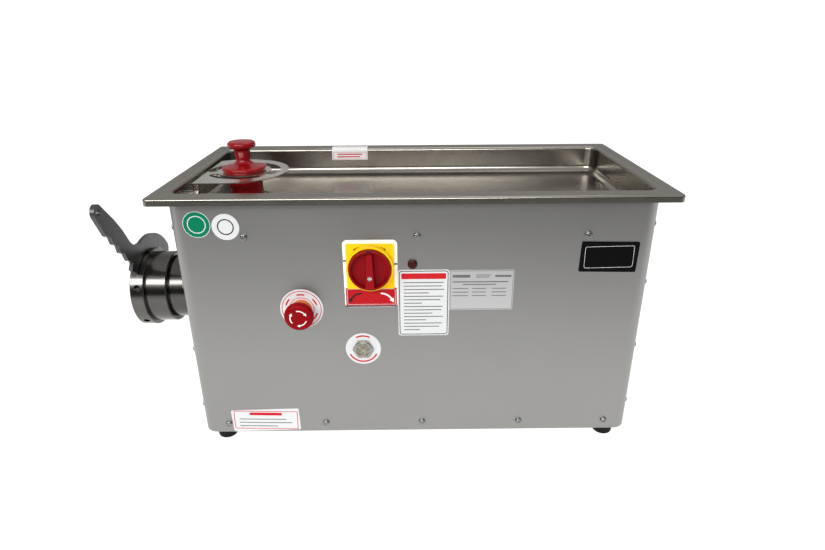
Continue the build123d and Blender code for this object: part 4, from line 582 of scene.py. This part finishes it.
def arrow(name, ink, y, x, z, radius, width, start, sweep, head, slot, body="chassis"):
    """A curved arrow: an arc with a head at its end."""
    piece = Print(name, ink, y, slot, body)
    piece.arc(x, z, radius, width, start, sweep)
    end = math.radians(start + sweep)
    side = 1 if sweep > 0 else -1
    tangent = Vector((-math.sin(end) * side, math.cos(end) * side))
    outward = Vector((math.cos(end), math.sin(end)))
    tip = Vector((x, z)) + outward * radius
    corners = [tip + outward * head, tip - outward * head, tip + tangent * head * 1.9]
    piece.solid([(c.x, c.y) for c in corners])
    return piece.done()


arrow("arrow_left", "black", BAND_Y, kx - 13, sz0 - 12, 17, 2.4, 90, 60, 3.4,
      "white_plastic")
arrow("arrow_right", "white", BAND_Y, kx + 13, sz0 - 12, 17, 2.4, 90, -60, 3.4,
      "white_plastic")
arrow("collar_arrow_left", "black", COLLAR_Y, kx - 14, kz + 20, 8, 0.8, 85, 50, 1.5,
      "yellow_plastic")
arrow("collar_arrow_right", "black", COLLAR_Y, kx + 14, kz + 20, 8, 0.8, 95, -50, 1.5,
      "yellow_plastic")

knob_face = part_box("switch_knob")[0].y
Print("knob_index", "black", knob_face + 3.9 * MM, "red_knob_plastic", "switch_knob").bar(
    kx - 3.4, kx + 3.4, kz + 26.9, 2.0).done()
notches = Print("legend_notches", "black", SWITCH_LEGEND_Y, "white_plastic")
notches.bar(kx - 36.4, kx - 32.2, kz + 7.5, 2.2).bar(kx + 32.2, kx + 36.4, kz + 2.5, 2.2)
notches.bar(kx - 36.0, kx + 34.0, sz0 - (top - low) / 2 - 1.2, 1.8)
notches.done()

# emergency stop head arrows
head_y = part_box("estop_head")[0].y
for index in range(3):
    start = 100 + 120 * index
    arrow(f"stop_arrow_{index}", "white", head_y, ex, ez, 11.0, 1.5, start, -62, 2.2,
          "label_film", "estop_head")

# tray label
tray_label_low, tray_label_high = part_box("tray_label")
tx = (tray_label_low.x + tray_label_high.x) / 2 / MM
tz = (tray_label_low.z / MM) + 7.2
tray_y = tray_label_low.y
Print("tray_label_frame", "red", tray_y, "label_film", "tray_top").ring(
    rounded(tx, tz, 58.0, 12.4, 1.0), rounded(tx, tz, 57.0, 11.4, 0.6)).done()
lines = Print("tray_label_lines", "red", tray_y, "label_film", "tray_top")
lines.bar(tx - 22, tx + 22, tz + 2.6, 2.0).bar(tx - 22, tx + 18, tz - 1.9, 2.0)
lines.done()

# ---------------------------------------------------------------- floor, light and camera
def table(name, x, y):
    """A flat pale sheet on the floor plane that glows with painted light: strong around the object,
    fading to dim towards the camera.
    """
    data = bpy.data.meshes.new(name)
    corners = [(x[0], y[0], 0), (x[1], y[0], 0), (x[1], y[1], 0), (x[0], y[1], 0)]
    data.from_pydata(corners, [], [(0, 1, 2, 3)])
    piece = bpy.data.objects.new(name, data)
    bpy.context.scene.collection.objects.link(piece)
    look = Look("pale_" + name, (0.30, 0.30, 0.298), 0.0, 0.7)
    look.shade(look.noise(look.place, 3.0), 0.2, 0.8, 0.985, 1.0)
    look.set("Specular IOR Level", 0.1)
    look.set("Emission Color", (1.0, 0.995, 0.985, 1.0))
    # painted light: the sheet's own glow is strong around the object and fades in front of it, a
    # painted darker floor for polished faces to mirror
    ahead = look.new("ShaderNodeSeparateXYZ", {0: look.place}).outputs["Y"]
    look.tree.links.new(look.range(ahead, -1.2, -0.42, 0.12, 0.90),
                        look.shader.inputs["Emission Strength"])
    data.materials.append(look.mat)


# the table ends below the camera, so polished faces mirror a darker room in front of it
table("floor", (-30.0, 30.0), (-1.30, 60.0))

world = bpy.data.worlds.new("studio")
bpy.context.scene.world = world
world.use_nodes = True
tree = world.node_tree
background = tree.nodes["Background"]
place = tree.nodes.new("ShaderNodeTexCoord")
split = tree.nodes.new("ShaderNodeSeparateXYZ")
tree.links.new(place.outputs["Generated"], split.inputs[0])


def world_ramp(value, stops):
    node = tree.nodes.new("ShaderNodeValToRGB")
    node.color_ramp.interpolation = "EASE"
    elements = node.color_ramp.elements
    while len(elements) < len(stops):
        elements.new(0.5)
    for element, (position, level) in zip(elements, stops):
        element.position = position
        element.color = (level, level, level, 1)
    tree.links.new(value, node.inputs[0])
    return node.outputs[0]


def world_node(kind, *values, **settings):
    node = tree.nodes.new(kind)
    for key, value in settings.items():
        setattr(node, key, value)
    for index, value in enumerate(values):
        if hasattr(value, "is_output"):
            tree.links.new(value, node.inputs[index])
        else:
            node.inputs[index].default_value = value
    return node.outputs[0]


# brightness over the sine of the elevation, behind the object and in front of it
height = world_node("ShaderNodeMapRange", split.outputs["Z"], -1.0, 1.0, 0.0, 1.0)
behind = world_ramp(height, ((0.49, 1.1), (0.522, 1.1), (0.545, 0.20), (0.602, 0.20),
                             (0.628, 0.56), (0.72, 0.52), (0.82, 0.50), (1.0, 0.75)))
ahead = world_ramp(height, ((0.20, 0.18), (0.36, 0.14), (0.43, 0.05), (0.60, 0.05), (0.68, 0.60),
                            (0.80, 0.70), (1.0, 0.75)))
side = world_node("ShaderNodeMapRange", split.outputs["Y"], -0.25, 0.05, 0.0, 1.0)
blend = world_node("ShaderNodeMix", data_type="RGBA")
mix = blend.node
tree.links.new(side, mix.inputs[0])
tree.links.new(ahead, mix.inputs[6])
tree.links.new(behind, mix.inputs[7])
tree.links.new(mix.outputs[2], background.inputs["Strength"])
background.inputs["Color"].default_value = (1.0, 0.985, 0.96, 1)


def area(name, place, target, size, power):
    data = bpy.data.lights.new(name, "AREA")
    data.shape = "RECTANGLE"
    data.size, data.size_y = size
    data.energy = power
    lamp = bpy.data.objects.new(name, data)
    bpy.context.scene.collection.objects.link(lamp)
    lamp.location = place
    direction = Vector(target) - Vector(place)
    lamp.rotation_euler = direction.to_track_quat("-Z", "Y").to_euler()
    return lamp


area("strip_light", (-0.75, -2.25, 1.62), (-0.1, 0, 0.2), (3.0, 0.66), 72)
area("top_light", (0.3, 0.9, 2.8), (0, 0, 0), (1.6, 1.2), 14)

bpy.context.scene.view_settings.view_transform = "Standard"

CAMERA_PLACE = Vector((-8.52, -881.25, 592.74)) * MM
YAW, PITCH, ROLL = math.radians(0.406), math.radians(23.37), math.radians(-0.341)
forward = Vector((math.sin(YAW) * math.cos(PITCH), math.cos(YAW) * math.cos(PITCH),
                  -math.sin(PITCH)))
right = Vector((math.cos(YAW), -math.sin(YAW), 0))
up = right.cross(forward)
tilted_right = math.cos(ROLL) * right + math.sin(ROLL) * up
tilted_up = -math.sin(ROLL) * right + math.cos(ROLL) * up
camera_data = bpy.data.cameras.new("camera")
camera_data.lens = 25.47
camera_data.sensor_width = 36.0
camera = bpy.data.objects.new("camera", camera_data)
bpy.context.scene.collection.objects.link(camera)
turn_matrix = Matrix((tilted_right, tilted_up, -forward)).transposed()
camera.matrix_world = Matrix.Translation(CAMERA_PLACE) @ turn_matrix.to_4x4()
bpy.context.scene.camera = camera

bpy.context.view_layer.update()
low, high = cad_box
